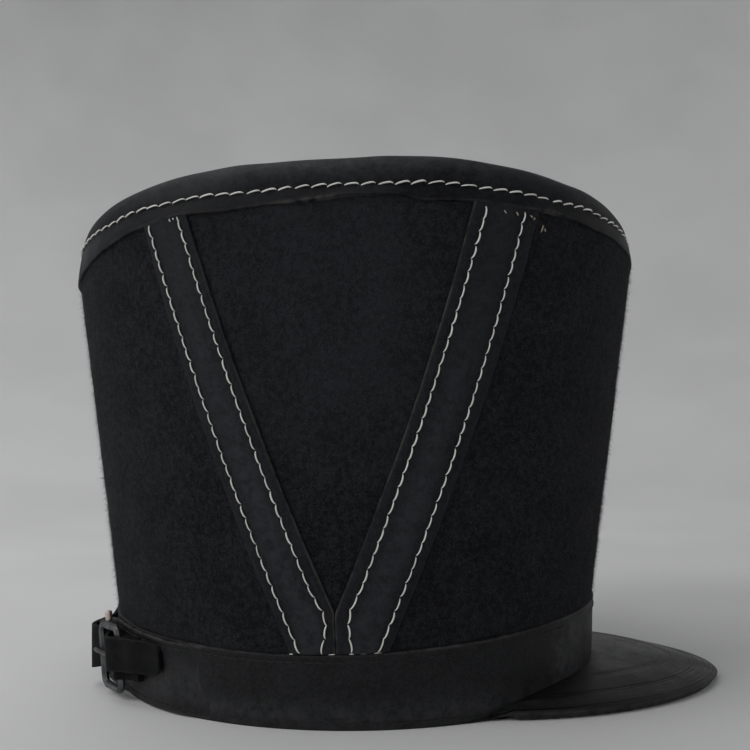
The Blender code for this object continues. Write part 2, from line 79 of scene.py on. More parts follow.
@dataclass(frozen=True)
class HatForm:
    """The form that every sheet is wrapped round; offsets are measured outwards from the felt."""

    band_top: float = 0.0300
    seam: float = 0.1825
    rim_drop_side: float = 0.0055
    rim_drop_end: float = 0.0065
    shift: float = 0.018279
    band_proud: float = 0.0010
    on_band: float = 0.0013
    lap_leather: float = 0.0015
    sections: tuple[Section, ...] = (
        Section(0.0, 0.1000, 0.0883, 2.0, -0.0008, 0.0, 0.0),
        Section(0.0300, 0.1040, 0.0905, 2.0, -0.0021, -0.0036, 0.0010),
        Section(0.1825, 0.1195, 0.1169, 2.475, 0.0025, 0.0046, 0.0010),
    )
    rim_lift: tuple[tuple[float, float], ...] = (
        (-180, 0.0), (-160, -1.2), (-150, -2.6), (-142, -2.0), (-137, -1.5), (-133, -0.9), (-129, -0.7),
        (-125, 0.0), (-120, 0.4), (-115, 0.8), (-110, 0.85), (-106, 0.2), (-102, -0.5), (-98, -0.1), (-95, 0.3),
        (-92.4, 0.0), (-90.3, 0.6), (-88, 1.8), (-83, 2.0), (-79.6, 1.8), (-78.6, 0.4), (-77, 0.0), (-73.7, 0.5),
        (-68.5, 1.2), (-62.7, 1.2), (-58.9, 1.5), (-54.8, 2.5), (-51.7, 2.4), (-46.8, 2.9), (-40.6, 2.6),
        (-32.8, 3.6), (-20, 3.9), (-8, 3.4), (5, 2.6), (20, 2.0), (40, 1.4), (58, 0.3), (75, 0.8), (92, 0.1),
        (110, 0.6), (128, -0.6), (146, 0.4), (165, -0.5), (180, 0.0))

    def size(self, name: str, height: Array) -> Array:
        """One size of the form at each height."""
        heights = [row.height for row in self.sections]
        return np.interp(height, heights, [getattr(row, name) for row in self.sections])

    def place(self, angle: Array, height: Array, offset: Array = 0.0, spread: Array = 1.0) -> Array:
        """Points of the form.

        Args:
            angle: Angles round the hat in radians.
            height: Heights before the sides' and the front's rise.
            offset: Distances outwards from the felt.
            spread: Below 1 draws a point in towards the hat's axis.

        Returns:
            An array of points, with x, y and z in its last axis.
        """
        angle, height, offset, spread = np.broadcast_arrays(angle, height, offset, spread)
        power = 2.0 / self.size("squareness", height)
        length = self.size("half_length", height)
        reach = signed_power(np.cos(angle), power) * (length + offset) * spread
        side = signed_power(np.sin(angle), power) * (self.size("half_width", height) + offset) * spread
        rise = self.size("front_rise", height) * reach / length
        rise = rise - self.size("side_rise", height) * spread ** 2 * np.cos(2 * angle)
        return np.stack([side, self.shift - reach - self.size("forward", height), height + rise], axis=-1)

    def outward(self, angle: Array, height: Array) -> Array:
        """Unit directions that point out of the wall at angles and heights.

        Args:
            angle: Angles round the hat in radians.
            height: Heights on the form.

        Returns:
            One direction for each place.
        """
        step = 1e-3
        round_it = self.place(angle + step, height) - self.place(angle - step, height)
        up_it = self.place(angle, height + step * 0.1) - self.place(angle, height - step * 0.1)
        normal = np.cross(round_it, up_it)
        return normal / np.linalg.norm(normal, axis=-1, keepdims=True)

    def angle_at(self, forward: Array, height: Array) -> Array:
        """Angles from the front where the wall is a distance forward of the hat's middle."""
        share = (forward - self.size("forward", height)) / self.size("half_length", height)
        return np.arccos(signed_power(share, self.size("squareness", height) / 2.0))

    def rim_foot(self, angle: Array) -> Array:
        """Heights of the crown rim's lower edge, which was cut by hand and wanders.

        Args:
            angle: Angles round the hat in radians.

        Returns:
            One height for each angle.
        """
        turns = [row[0] for row in self.rim_lift]
        lifts = [row[1] for row in self.rim_lift]
        degrees = np.degrees(angle)
        lift = sum(np.interp(degrees + step, turns, lifts) for step in RIM_SMOOTHING)
        lift = lift / (len(RIM_SMOOTHING) * MILLIMETRES)
        return self.seam - self.rim_drop_side - self.rim_drop_end * np.cos(angle) ** 2 + lift


FORM = HatForm()


def ripple(points: Array, wavelength: float, seed: int, waves: int = 20) -> Array:
    """Smooth unevenness that a hand-made surface has.

    Args:
        points: Places, with x, y and z in the last axis.
        wavelength: Typical distance between two humps.
        seed: Choice of the waves.
        waves: How many waves are added up.

    Returns:
        Values of about -1 to 1, one for each place.
    """
    chance = np.random.default_rng(seed)
    ways = chance.normal(size=(waves, 3))
    ways /= np.linalg.norm(ways, axis=1, keepdims=True)
    ways *= 2 * math.pi / (wavelength * chance.uniform(0.7, 1.5, size=(waves, 1)))
    phases = chance.uniform(0, 2 * math.pi, waves)
    total = np.zeros(points.shape[:-1])
    for way, phase in zip(ways, phases):
        total += np.sin(points @ way + phase)
    return total / math.sqrt(waves)


def bump_at(value: Array, centre: float, width: float) -> Array:
    """Bell-shaped mask round a centre."""
    return np.exp(-((value - centre) / width) ** 2)


def fade(value: Array, start: float, end: float) -> Array:
    """Smooth mask from 0 at start to 1 at end."""
    share = np.clip((value - start) / (end - start), 0.0, 1.0)
    return share * share * (3 - 2 * share)


# ---------------------------------------------------------------- sheets of leather and felt
WELD_DISTANCE = 2e-6
CUT_EDGE_ANGLE = math.radians(55)
THREAD_SMOOTHING = 80.0


def deselect_all() -> None:
    """Leave object mode with nothing selected."""
    if bpy.context.object and bpy.context.object.mode != "OBJECT":
        bpy.ops.object.mode_set(mode="OBJECT")
    bpy.ops.object.select_all(action="DESELECT")


def apply_modifiers(item: bpy.types.Object) -> None:
    """Make every modifier of a piece part of its mesh.

    Args:
        item: The piece.
    """
    deselect_all()
    item.select_set(True)
    bpy.context.view_layer.objects.active = item
    for modifier in list(item.modifiers):
        bpy.ops.object.modifier_apply(modifier=modifier.name)


class Sheet:
    """A flat grid that is wrapped into place and then given thickness and rounded edges."""

    def __init__(self, name: str, columns: int, rows: int) -> None:
        """Cut the flat sheet; u runs along it and v across it, both from 0 to 1.

        Args:
            name: Name of the piece.
            columns: How many faces lie along it.
            rows: How many faces lie across it.
        """
        deselect_all()
        bpy.ops.mesh.primitive_grid_add(x_subdivisions=columns, y_subdivisions=rows, size=1.0)
        self.item = bpy.context.object
        self.item.name = name
        self.item.data.name = name
        flat = np.zeros(len(self.item.data.vertices) * 3)
        self.item.data.vertices.foreach_get("co", flat)
        flat = flat.reshape(-1, 3)
        self.order = np.lexsort((flat[:, 0], flat[:, 1]))
        self.shape = (rows + 1, columns + 1)
        self.u = (flat[self.order, 0] + 0.5).reshape(self.shape)
        self.v = (flat[self.order, 1] + 0.5).reshape(self.shape)
        self.points = flat[self.order].reshape(*self.shape, 3)

    def wrap(self, points: Array) -> None:
        """Move the sheet's corners to points, one for each u and v.

        Args:
            points: The new places, in rows of v and columns of u.
        """
        self.points = points
        loose = np.empty((len(self.order), 3))
        loose[self.order] = points.reshape(-1, 3)
        self.item.data.vertices.foreach_set("co", loose.ravel())
        self.item.data.update()

    def normals(self) -> Array:
        """Unit directions out of the sheet's face.

        Returns:
            One direction for each corner.
        """
        along = np.gradient(self.points, axis=1)
        across = np.gradient(self.points, axis=0)
        normal = np.cross(along, across)
        return normal / np.maximum(np.linalg.norm(normal, axis=-1, keepdims=True), 1e-12)

    def press(self, distance: Array) -> None:
        """Move the face in or out by a distance at each corner."""
        self.wrap(self.points + self.normals() * distance[..., None])

    def mark(self, name: str, values: Array) -> None:
        """Keep a number for each corner, which the materials read.

        Args:
            name: The attribute's name.
            values: One number for each corner.
        """
        loose = np.empty(len(self.order))
        loose[self.order] = values.ravel()
        attribute = self.item.data.attributes.new(name, "FLOAT", "POINT")
        attribute.data.foreach_set("value", loose)

    def close_round(self) -> None:
        """Bring together and weld the two ends of a sheet that goes all the way round."""
        meeting = (self.points[:, :1] + self.points[:, -1:]) / 2
        self.wrap(np.concatenate([meeting, self.points[:, 1:-1], meeting], axis=1))
        deselect_all()
        self.item.select_set(True)
        bpy.context.view_layer.objects.active = self.item
        bpy.ops.object.mode_set(mode="EDIT")
        bpy.ops.mesh.select_all(action="SELECT")
        bpy.ops.mesh.remove_doubles(threshold=WELD_DISTANCE)
        bpy.ops.object.mode_set(mode="OBJECT")

    def thicken(self, thickness: float, edge: float, segments: int = 3) -> None:
        """Give the sheet its thickness inwards, and round its cut edges.

        Args:
            thickness: Distance from the face to the back.
            edge: Radius of the cut edges; 0 leaves them square.
            segments: Faces round each edge.
        """
        wall = self.item.modifiers.new("wall", "SOLIDIFY")
        wall.thickness = thickness
        wall.offset = -1.0
        wall.use_even_offset = True
        if edge > 0:
            rounding = self.item.modifiers.new("edge", "BEVEL")
            rounding.width = edge
            rounding.segments = segments
            rounding.limit_method = "ANGLE"
            rounding.angle_limit = CUT_EDGE_ANGLE
        apply_modifiers(self.item)


def finish_piece(item: bpy.types.Object, material: bpy.types.Material,
                 nodes: Sequence[str] = (), smooth_degrees: float = 50.0) -> bpy.types.Object:
    """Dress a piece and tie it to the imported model.

    Args:
        item: The piece, at the origin with its place in its mesh.
        material: Its material.
        nodes: CAD nodes that it stands for.
        smooth_degrees: Edges flatter than this are shaded smooth.

    Returns:
        The piece.
    """
    item.data.materials.clear()
    item.data.materials.append(material)
    deselect_all()
    item.select_set(True)
    bpy.context.view_layer.objects.active = item
    bpy.ops.object.shade_smooth_by_angle(angle=math.radians(smooth_degrees))
    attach(item, "root")
    if nodes:
        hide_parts(*nodes)
    LOG.info("%s: %d faces", item.name, len(item.data.polygons))
    return item


def repeat_shape(template: bpy.types.Object, places: Array, name: str) -> bpy.types.Object:
    """Copy a small shape to many places and keep the copies as one piece.

    Args:
        template: The shape, modelled round the origin; it is removed.
        places: One 4 by 4 matrix for each copy.
        name: Name of the piece.

    Returns:
        The piece, with every copy's corners in its own mesh.
    """
    source = template.data
    corners = np.zeros(len(source.vertices) * 3)
    source.vertices.foreach_get("co", corners)
    corners = np.c_[corners.reshape(-1, 3), np.ones(len(source.vertices))]
    moved = np.einsum("nij,kj->nki", places, corners)[..., :3]
    turns = np.zeros(len(source.loops), dtype=np.int32)
    source.loops.foreach_get("vertex_index", turns)
    starts = np.zeros(len(source.polygons), dtype=np.int32)
    source.polygons.foreach_get("loop_start", starts)
    copies = np.arange(len(places), dtype=np.int32)[:, None]
    mesh = bpy.data.meshes.new(name)
    mesh.vertices.add(moved.shape[0] * moved.shape[1])
    mesh.vertices.foreach_set("co", moved.ravel())
    mesh.loops.add(len(turns) * len(places))
    mesh.loops.foreach_set("vertex_index", (turns[None, :] + copies * len(corners)).astype(np.int32).ravel())
    mesh.polygons.add(len(starts) * len(places))
    mesh.polygons.foreach_set("loop_start", (starts[None, :] + copies * len(turns)).astype(np.int32).ravel())
    mesh.update(calc_edges=True)
    mesh.validate()
    item = bpy.data.objects.new(name, mesh)
    bpy.context.scene.collection.objects.link(item)
    bpy.data.objects.remove(template, do_unlink=True)
    return item


def place_matrices(points: Array, along: Array, outward: Array, scale: Array) -> Array:
    """Matrices that stand a shape on a surface, its x along a line and its z outwards.

    Args:
        points: Where the shapes go.
        along: Directions of their x axes.
        outward: Directions of their z axes.
        scale: Size of each, or of each along x, y and z.

    Returns:
        One 4 by 4 matrix for each point.
    """
    z = outward / np.linalg.norm(outward, axis=-1, keepdims=True)
    y = np.cross(z, along)
    y /= np.linalg.norm(y, axis=-1, keepdims=True)
    x = np.cross(y, z)
    sizes = np.broadcast_to(np.atleast_2d(scale), (len(points), 3))
    places = np.zeros((len(points), 4, 4))
    places[:, :3, 0] = x * sizes[:, :1]
    places[:, :3, 1] = y * sizes[:, 1:2]
    places[:, :3, 2] = z * sizes[:, 2:]
    places[:, :3, 3] = points
    places[:, 3, 3] = 1.0
    return places


# ---------------------------------------------------------------- materials
class Bench:
    """Adds nodes to one tree and joins them."""

    def __init__(self, tree: bpy.types.NodeTree) -> None:
        """Work on a node tree."""
        self.tree = tree

    def add(self, kind: str, values: dict[str | int, object] | None = None, **settings: object) -> bpy.types.Node:
        """Add a node.

        Args:
            kind: The node's type name.
            values: Constants for its sockets, by name or number.
            **settings: Settings of the node itself.

        Returns:
            The node.
        """
        node = self.tree.nodes.new(kind)
        for key, value in settings.items():
            setattr(node, key, value)
        for key, value in (values or {}).items():
            node.inputs[key].default_value = value
        return node

    def join(self, output: bpy.types.NodeSocket, socket: bpy.types.NodeSocket) -> None:
        """Join an output to an input."""
        self.tree.links.new(output, socket)

    def noise(self, where: bpy.types.NodeSocket, scale: float, detail: float = 3.0,
              roughness: float = 0.55) -> bpy.types.NodeSocket:
        """Noise value with so many features in a metre.

        Args:
            where: Coordinates that the noise is read at.
            scale: Features in a metre.
            detail: How many finer layers are added.
            roughness: How strong the finer layers are.

        Returns:
            The value.
        """
        node = self.add("ShaderNodeTexNoise", {"Scale": scale, "Detail": detail, "Roughness": roughness})
        self.join(where, node.inputs["Vector"])
        return node.outputs["Fac"]

    def spread(self, value: bpy.types.NodeSocket, low: float, high: float, to_low: float = 0.0,
               to_high: float = 1.0) -> bpy.types.NodeSocket:
        """Stretch a range of values to another, smoothly and within its ends.

        Args:
            value: The value.
            low: Where the range starts.
            high: Where it ends.
            to_low: Result at its start.
            to_high: Result at its end.

        Returns:
            The stretched value.
        """
        node = self.add("ShaderNodeMapRange", {"From Min": low, "From Max": high, "To Min": to_low,
                                               "To Max": to_high}, interpolation_type="SMOOTHSTEP")
        self.join(value, node.inputs["Value"])
        return node.outputs["Result"]

    def math(self, operation: str, first: bpy.types.NodeSocket, second: bpy.types.NodeSocket | float
             ) -> bpy.types.NodeSocket:
        """Result of a sum, product and the like of two values.

        Args:
            operation: Name of the operation.
            first: First value.
            second: Second value, or a constant.

        Returns:
            The result.
        """
        node = self.add("ShaderNodeMath", operation=operation)
        self.join(first, node.inputs[0])
        if isinstance(second, (int, float)):
            node.inputs[1].default_value = second
        else:
            self.join(second, node.inputs[1])
        return node.outputs[0]

    def mix(self, share: bpy.types.NodeSocket, first: object, second: object) -> bpy.types.NodeSocket:
        """Mix of two colours, each a colour or a socket.

        Args:
            share: How much of the second there is.
            first: First colour.
            second: Second colour.

        Returns:
            The mixed colour.
        """
        node = self.add("ShaderNodeMix", data_type="RGBA")
        self.join(share, node.inputs["Factor"])
        for socket, value in ((node.inputs[6], first), (node.inputs[7], second)):
            if isinstance(value, tuple):
                socket.default_value = (*value, 1.0)
            else:
                self.join(value, socket)
        return node.outputs[2]


class Socket(Enum):
    """Kinds of sockets on a shared effect."""

    COLOR = "NodeSocketColor"
    VALUE = "NodeSocketFloat"
    VECTOR = "NodeSocketVector"


def new_effect(name: str, inputs: dict[str, Socket], outputs: dict[str, Socket]
               ) -> tuple[Bench, bpy.types.Node, bpy.types.Node]:
    """Start a shared effect as a shader node group.

    Args:
        name: Its name.
        inputs: Names and kinds of its inputs.
        outputs: Names and kinds of its outputs.

    Returns:
        A bench on the group, its input node and its output node.
    """
    tree = bpy.data.node_groups.new(name, "ShaderNodeTree")
    for label, kind in inputs.items():
        tree.interface.new_socket(label, in_out="INPUT", socket_type=kind.value)
    for label, kind in outputs.items():
        tree.interface.new_socket(label, in_out="OUTPUT", socket_type=kind.value)
    bench = Bench(tree)
    return bench, bench.add("NodeGroupInput"), bench.add("NodeGroupOutput")


# features of the leather and the felt in a metre
STAINS = 55.0
GRAIN = 560.0
DRY_SPOTS = 1350.0
PORES = 1300.0
SHINE_PATCHES = 260.0
DUST = 380.0
DUSTY_PATCHES = 90.0
FRAYED_SPOTS = 240.0
WOOL_FIBRES = 1700.0
WOOL_TUFTS = 460.0
WOOL_PATCHES = 60.0
THREAD_PLIES = 2600.0
THREAD_SOIL = 140.0
METAL_PATCHES = 150.0
METAL_SCRATCHES = 2600.0
CLOTH_CLOUDS = 3.0


def leather_effect() -> bpy.types.NodeTree:
    """Grain, soft stains, painted shine in a highlight colour, dust and dry cut edges of leather.

    Returns:
        The node group.
    """
    bench, given, made = new_effect(
        "leather_surface",
        {"Place": Socket.VECTOR, "Edge": Socket.VALUE, "Painted_shine": Socket.VALUE, "Dark": Socket.COLOR,
         "Pale": Socket.COLOR, "Haze": Socket.COLOR, "Worn": Socket.COLOR, "Roughness": Socket.VALUE},
        {"Color": Socket.COLOR, "Roughness": Socket.VALUE, "Height": Socket.VALUE})
    place = given.outputs["Place"]
    stain = bench.spread(bench.noise(place, STAINS, 6.0, 0.70), 0.35, 0.68)
    fine = bench.noise(place, GRAIN, 4.0, 0.72)
    dry = bench.spread(bench.noise(place, DRY_SPOTS, 3.0, 0.7), 0.42, 0.60)
    grain = bench.add("ShaderNodeTexVoronoi", {"Scale": PORES, "Randomness": 1.0}, feature="DISTANCE_TO_EDGE")
    bench.join(place, grain.inputs["Vector"])
    pores = bench.spread(grain.outputs["Distance"], 0.0, 0.24)
    tone = bench.math("ADD", bench.math("MULTIPLY", stain, 0.30),
                      bench.math("MULTIPLY", bench.spread(fine, 0.40, 0.62), 0.40))
    tone = bench.math("ADD", tone, bench.math("MULTIPLY", dry, 0.40))
    color = bench.mix(tone, given.outputs["Dark"], given.outputs["Pale"])
    # painted shine: the highlight colour is laid where a piece marks painted shine, broken into soft patches by noise
    soft_mask = bench.spread(bench.noise(place, SHINE_PATCHES, 6.0, 0.75), 0.30, 0.66)
    painted_shine_mask = bench.math("MULTIPLY", given.outputs["Painted_shine"], soft_mask)
    color = bench.mix(painted_shine_mask, color, given.outputs["Haze"])
    dust = bench.add("ShaderNodeTexVoronoi", {"Scale": DUST, "Randomness": 1.0}, feature="F1")
    bench.join(place, dust.inputs["Vector"])
    specks = bench.math("MULTIPLY", bench.spread(dust.outputs["Distance"], 0.03, 0.08, 0.45, 0.0),
                        bench.spread(bench.noise(place, DUSTY_PATCHES, 2.0), 0.50, 0.60))
    color = bench.mix(specks, color, given.outputs["Worn"])
    frayed = bench.math("MULTIPLY", given.outputs["Edge"],
                        bench.spread(bench.noise(place, FRAYED_SPOTS, 4.0), 0.30, 0.60))
    bench.join(bench.mix(frayed, color, given.outputs["Worn"]), made.inputs["Color"])
    uneven = bench.math("MULTIPLY", bench.math("SUBTRACT", stain, 0.5), 0.14)
    speck = bench.math("MULTIPLY", bench.math("SUBTRACT", fine, 0.5), 0.30)
    rough = bench.math("ADD", bench.math("ADD", given.outputs["Roughness"], uneven), speck)
    bench.join(bench.math("ADD", rough, bench.math("MULTIPLY", given.outputs["Edge"], 0.20)), made.inputs["Roughness"])
    height = bench.math("ADD", bench.math("MULTIPLY", pores, 0.35), bench.math("MULTIPLY", fine, 0.65))
    bench.join(height, made.inputs["Height"])
    return bench.tree


def felt_effect() -> bpy.types.NodeTree:
    """Matted wool: short fibres, small tufts, and a painted sheen of the nap where it is marked.

    Returns:
        The node group.
    """
    bench, given, made = new_effect(
        "felt_surface", {"Place": Socket.VECTOR, "Painted_nap_sheen": Socket.VALUE, "Dark": Socket.COLOR, "Pale": Socket.COLOR},
        {"Color": Socket.COLOR, "Height": Socket.VALUE})
    place = given.outputs["Place"]
    fibres = bench.noise(place, WOOL_FIBRES, 3.0, 0.70)
    tufts = bench.noise(place, WOOL_TUFTS, 4.0, 0.70)
    patches = bench.noise(place, WOOL_PATCHES, 5.0, 0.66)
    tone = bench.math("ADD", bench.math("MULTIPLY", bench.spread(fibres, 0.42, 0.60), 0.38),
                      bench.math("MULTIPLY", bench.spread(tufts, 0.41, 0.61), 0.44))
    tone = bench.math("ADD", tone, bench.math("MULTIPLY", bench.spread(patches, 0.36, 0.66), 0.20))
    # painted sheen: the felt is paler where the nap's sheen is marked
    tone = bench.math("ADD", tone, bench.math("MULTIPLY", given.outputs["Painted_nap_sheen"], 0.36))
    bench.join(bench.mix(tone, given.outputs["Dark"], given.outputs["Pale"]), made.inputs["Color"])
    bench.join(bench.math("ADD", fibres, tufts), made.inputs["Height"])
    return bench.tree


@dataclass(frozen=True)
class Finish:
    """What all finishes share: a name, and the shader's constants."""

    name: str
    roughness: float = 0.5
    specular: float = 0.5
    metallic: float = 0.0

    def start(self) -> tuple[bpy.types.Material, Bench, bpy.types.Node, bpy.types.NodeSocket]:
        """New material with its shader set and the piece's own coordinates at hand.

        Returns:
            The material, a bench on it, its shader and the Object coordinate socket.
        """
        material = bpy.data.materials.new(self.name)
        material.use_nodes = True
        bench = Bench(material.node_tree)
        shader = material.node_tree.nodes["Principled BSDF"]
        shader.inputs["Roughness"].default_value = self.roughness
        shader.inputs["Specular IOR Level"].default_value = self.specular
        shader.inputs["Metallic"].default_value = self.metallic
        place = bench.add("ShaderNodeTexCoord").outputs["Object"]
        return material, bench, shader, place

    def bump(self, bench: Bench, shader: bpy.types.Node, height: bpy.types.NodeSocket, depth: float,
             under: bpy.types.Node | None = None) -> bpy.types.Node:
        """Let a height raise the surface by a depth in metres, over an earlier bump if there is one.

        Args:
            bench: Bench on the material.
            shader: The material's shader.
            height: The height, from 0 to 1.
            depth: How far a height of 1 stands out.
            under: The earlier bump.

        Returns:
            The new bump node.
        """
        node = bench.add("ShaderNodeBump", {"Strength": 1.0, "Distance": depth})
        bench.join(height, node.inputs["Height"])
        if under:
            bench.join(under.outputs["Normal"], node.inputs["Normal"])
        bench.join(node.outputs["Normal"], shader.inputs["Normal"])
        return node


@dataclass(frozen=True)
class Leather(Finish):
    """Black leather; pale is its stains, highlight the colour of its painted shine and worn its dry cut edge."""

    specular: float = 0.17
    dark: Color = (0.0016, 0.0017, 0.0020)
    pale: Color = (0.0190, 0.0196, 0.0214)
    # colour of the painted shine
    haze: Color = (0.0280, 0.0290, 0.0320)
    worn: Color = (0.0560, 0.0550, 0.0540)
    depth: float = 0.00014
    coat: float = 0.0
    coat_roughness: float = 0.2

    def make(self, effect: bpy.types.NodeTree) -> bpy.types.Material:
        """Material of this leather.

        Args:
            effect: The shared leather effect.

        Returns:
            The material.
        """
        material, bench, shader, place = self.start()
        surface = bench.add("ShaderNodeGroup", node_tree=effect)
        bench.join(place, surface.inputs["Place"])
        # edge marks the worn cut edges; the second mark is where painted shine is laid
        for label in ("edge", "painted_shine"):
            mark = bench.add("ShaderNodeAttribute", attribute_name=label)
            bench.join(mark.outputs["Fac"], surface.inputs[label.capitalize()])
        for label, color in (("Dark", self.dark), ("Pale", self.pale), ("Haze", self.haze), ("Worn", self.worn)):
            surface.inputs[label].default_value = (*color, 1.0)
        surface.inputs["Roughness"].default_value = self.roughness
        shader.inputs["Coat Weight"].default_value = self.coat
        shader.inputs["Coat Roughness"].default_value = self.coat_roughness
        bench.join(surface.outputs["Roughness"], shader.inputs["Roughness"])
        grain = self.bump(bench, shader, surface.outputs["Height"], self.depth)
        bench.join(self.tool(bench, shader, surface.outputs["Color"], grain), shader.inputs["Base Color"])
        return material

    def tool(self, bench: Bench, shader: bpy.types.Node, color: bpy.types.NodeSocket,
             grain: bpy.types.Node) -> bpy.types.NodeSocket:
        """Plain leather has no tooling, so its colour stays as it is."""
        return color


@dataclass(frozen=True)
class TooledLeather(Leather):
    """Leather with a wheel-cut border; distances are millimetres from the edge and along it."""

    lines: tuple[float, ...] = (1.9, 8.3, 9.6, 19.0)
    arcs: tuple[float, ...] = (3.6, 5.4, 11.4)
    ticks_from: float = 19.6
    ticks_to: float = 22.6
    tick_pitch: float = 2.4
    tick_lean: float = 0.9
    tick_soft: float = 0.2
    line_core: float = 0.15
    line_side: float = 0.55
    arc_near: float = 22.0
    arc_far: float = 48.0
    arc_share: float = 0.8
    cut_dark: float = 0.85
    ridge_highlight: float = 0.7
    cut: float = 0.00055

    def tool(self, bench: Bench, shader: bpy.types.Node, color: bpy.types.NodeSocket,
             grain: bpy.types.Node) -> bpy.types.NodeSocket:
        """Cut the border's lines, slanted ticks and short arcs, darken what is cut, and paint a highlight on the
        ridges between the ticks.

        Args:
            bench: Bench on the material.
            shader: The material's shader.
            color: Colour of the plain leather.
            grain: The bump node of the grain.

        Returns:
            The colour with its cuts.
        """
        inside = bench.add("ShaderNodeAttribute", attribute_name="inside").outputs["Fac"]
        along = bench.add("ShaderNodeAttribute", attribute_name="along").outputs["Fac"]
        turns = bench.math("MULTIPLY", along, 2 * math.pi / self.tick_pitch)
        leaning = bench.math("MULTIPLY", inside, 2 * math.pi / self.tick_pitch * self.tick_lean)
        wave = bench.math("SINE", bench.math("ADD", turns, leaning), 0.0)
        soft = self.tick_soft
        border = bench.math("MULTIPLY", bench.spread(inside, self.ticks_from - soft, self.ticks_from + soft),
                            bench.spread(inside, self.ticks_to - soft, self.ticks_to + soft, 1.0, 0.0))
        cuts = bench.math("MULTIPLY", bench.spread(wave, -0.2, 0.7), border)
        for line in self.lines:
            cuts = bench.math("MAXIMUM", cuts, self.groove(bench, inside, line))
        near_tip = bench.spread(bench.math("ABSOLUTE", along, 0.0), self.arc_near, self.arc_far, self.arc_share, 0.0)
        for arc in self.arcs:
            cuts = bench.math("MAXIMUM", cuts, bench.math("MULTIPLY", self.groove(bench, inside, arc), near_tip))
        height = bench.math("SUBTRACT", cuts, 1.0)
        self.bump(bench, shader, bench.math("MULTIPLY", height, -1.0), self.cut, grain)
        # painted highlight on the raised ridges between the ticks
        ridges = bench.math("MULTIPLY", bench.math("MULTIPLY", border, bench.spread(wave, 0.0, -0.9)), self.ridge_highlight)
        return bench.mix(bench.math("MULTIPLY", cuts, self.cut_dark), bench.mix(ridges, color, self.haze), self.dark)

    def groove(self, bench: Bench, inside: bpy.types.NodeSocket, line: float) -> bpy.types.NodeSocket:
        """Mask of one cut line at a distance from the edge."""
        gone = bench.math("ABSOLUTE", bench.math("SUBTRACT", inside, line), 0.0)
        return bench.spread(gone, self.line_core, self.line_side, 1.0, 0.0)


@dataclass(frozen=True)
class Felt(Finish):
    """Black wool felt."""

    dark: Color = (0.0017, 0.0019, 0.0024)
    pale: Color = (0.0232, 0.0245, 0.0284)
    depth: float = 0.0006
    sheen: float = 0.04
    sheen_roughness: float = 0.45
    sheen_tint: Color = (0.55, 0.57, 0.62)

    def make(self, effect: bpy.types.NodeTree) -> bpy.types.Material:
        """Material of this felt.

        Args:
            effect: The shared felt effect.

        Returns:
            The material.
        """
        material, bench, shader, place = self.start()
        surface = bench.add("ShaderNodeGroup", node_tree=effect)
        bench.join(place, surface.inputs["Place"])
        painted_nap_sheen = bench.add("ShaderNodeAttribute", attribute_name="painted_nap_sheen")
        bench.join(painted_nap_sheen.outputs["Fac"], surface.inputs["Painted_nap_sheen"])
        surface.inputs["Dark"].default_value = (*self.dark, 1.0)
        surface.inputs["Pale"].default_value = (*self.pale, 1.0)
        shader.inputs["Sheen Weight"].default_value = self.sheen
        shader.inputs["Sheen Roughness"].default_value = self.sheen_roughness
        shader.inputs["Sheen Tint"].default_value = (*self.sheen_tint, 1.0)
        bench.join(surface.outputs["Color"], shader.inputs["Base Color"])
        self.bump(bench, shader, surface.outputs["Height"], self.depth)
        return material


@dataclass(frozen=True)
class Thread(Finish):
    """Twisted sewing thread."""

    color: Color = (0.86, 0.85, 0.80)
    shade: Color = (0.50, 0.49, 0.45)
    depth: float = 0.0001

    def make(self) -> bpy.types.Material:
        """Material of this thread: plies and a little soiling.

        Returns:
            The material.
        """
        material, bench, shader, place = self.start()
        plies = bench.noise(place, THREAD_PLIES, 2.0)
        soil = bench.spread(bench.noise(place, THREAD_SOIL), 0.42, 0.72)
        tone = bench.math("ADD", bench.math("MULTIPLY", bench.spread(plies, 0.4, 0.65), 0.30),
                          bench.math("MULTIPLY", soil, 0.40))
        bench.join(bench.mix(tone, self.color, self.shade), shader.inputs["Base Color"])
        self.bump(bench, shader, plies, self.depth)
        return material


@dataclass(frozen=True)
class Metal(Finish):
    """Cast or drawn metal with a dull skin."""

    color: Color = (0.135, 0.140, 0.145)
    tarnish: Color = (0.060, 0.061, 0.064)
    depth: float = 0.00003

    def make(self) -> bpy.types.Material:
        """Material of this metal: tarnish in soft patches and fine scratches.

        Returns:
            The material.
        """
        material, bench, shader, place = self.start()
        patches = bench.spread(bench.noise(place, METAL_PATCHES, 4.0), 0.35, 0.70)
        bench.join(bench.mix(patches, self.color, self.tarnish), shader.inputs["Base Color"])
        fine = bench.noise(place, METAL_SCRATCHES, 2.0)
        rough = bench.math("ADD", bench.math("MULTIPLY", patches, 0.20), bench.math("MULTIPLY", fine, 0.2))
        bench.join(bench.math("ADD", rough, self.roughness - 0.15), shader.inputs["Roughness"])
        self.bump(bench, shader, fine, self.depth)
        return material


@dataclass(frozen=True)
class PaleCloth(Finish):
    """Plain pale studio surface."""

    color: Color = (0.80, 0.80, 0.80)
    shaded: float = 0.93

    def make(self) -> bpy.types.Material:
        """Material of the floor and the wall, with very soft clouds.

        Returns:
            The material.
        """
        material, bench, shader, place = self.start()
        clouds = bench.spread(bench.noise(place, CLOTH_CLOUDS, 2.0), 0.3, 0.7)
        darker = tuple(part * self.shaded for part in self.color)
        bench.join(bench.mix(clouds, self.color, darker), shader.inputs["Base Color"])
        return material


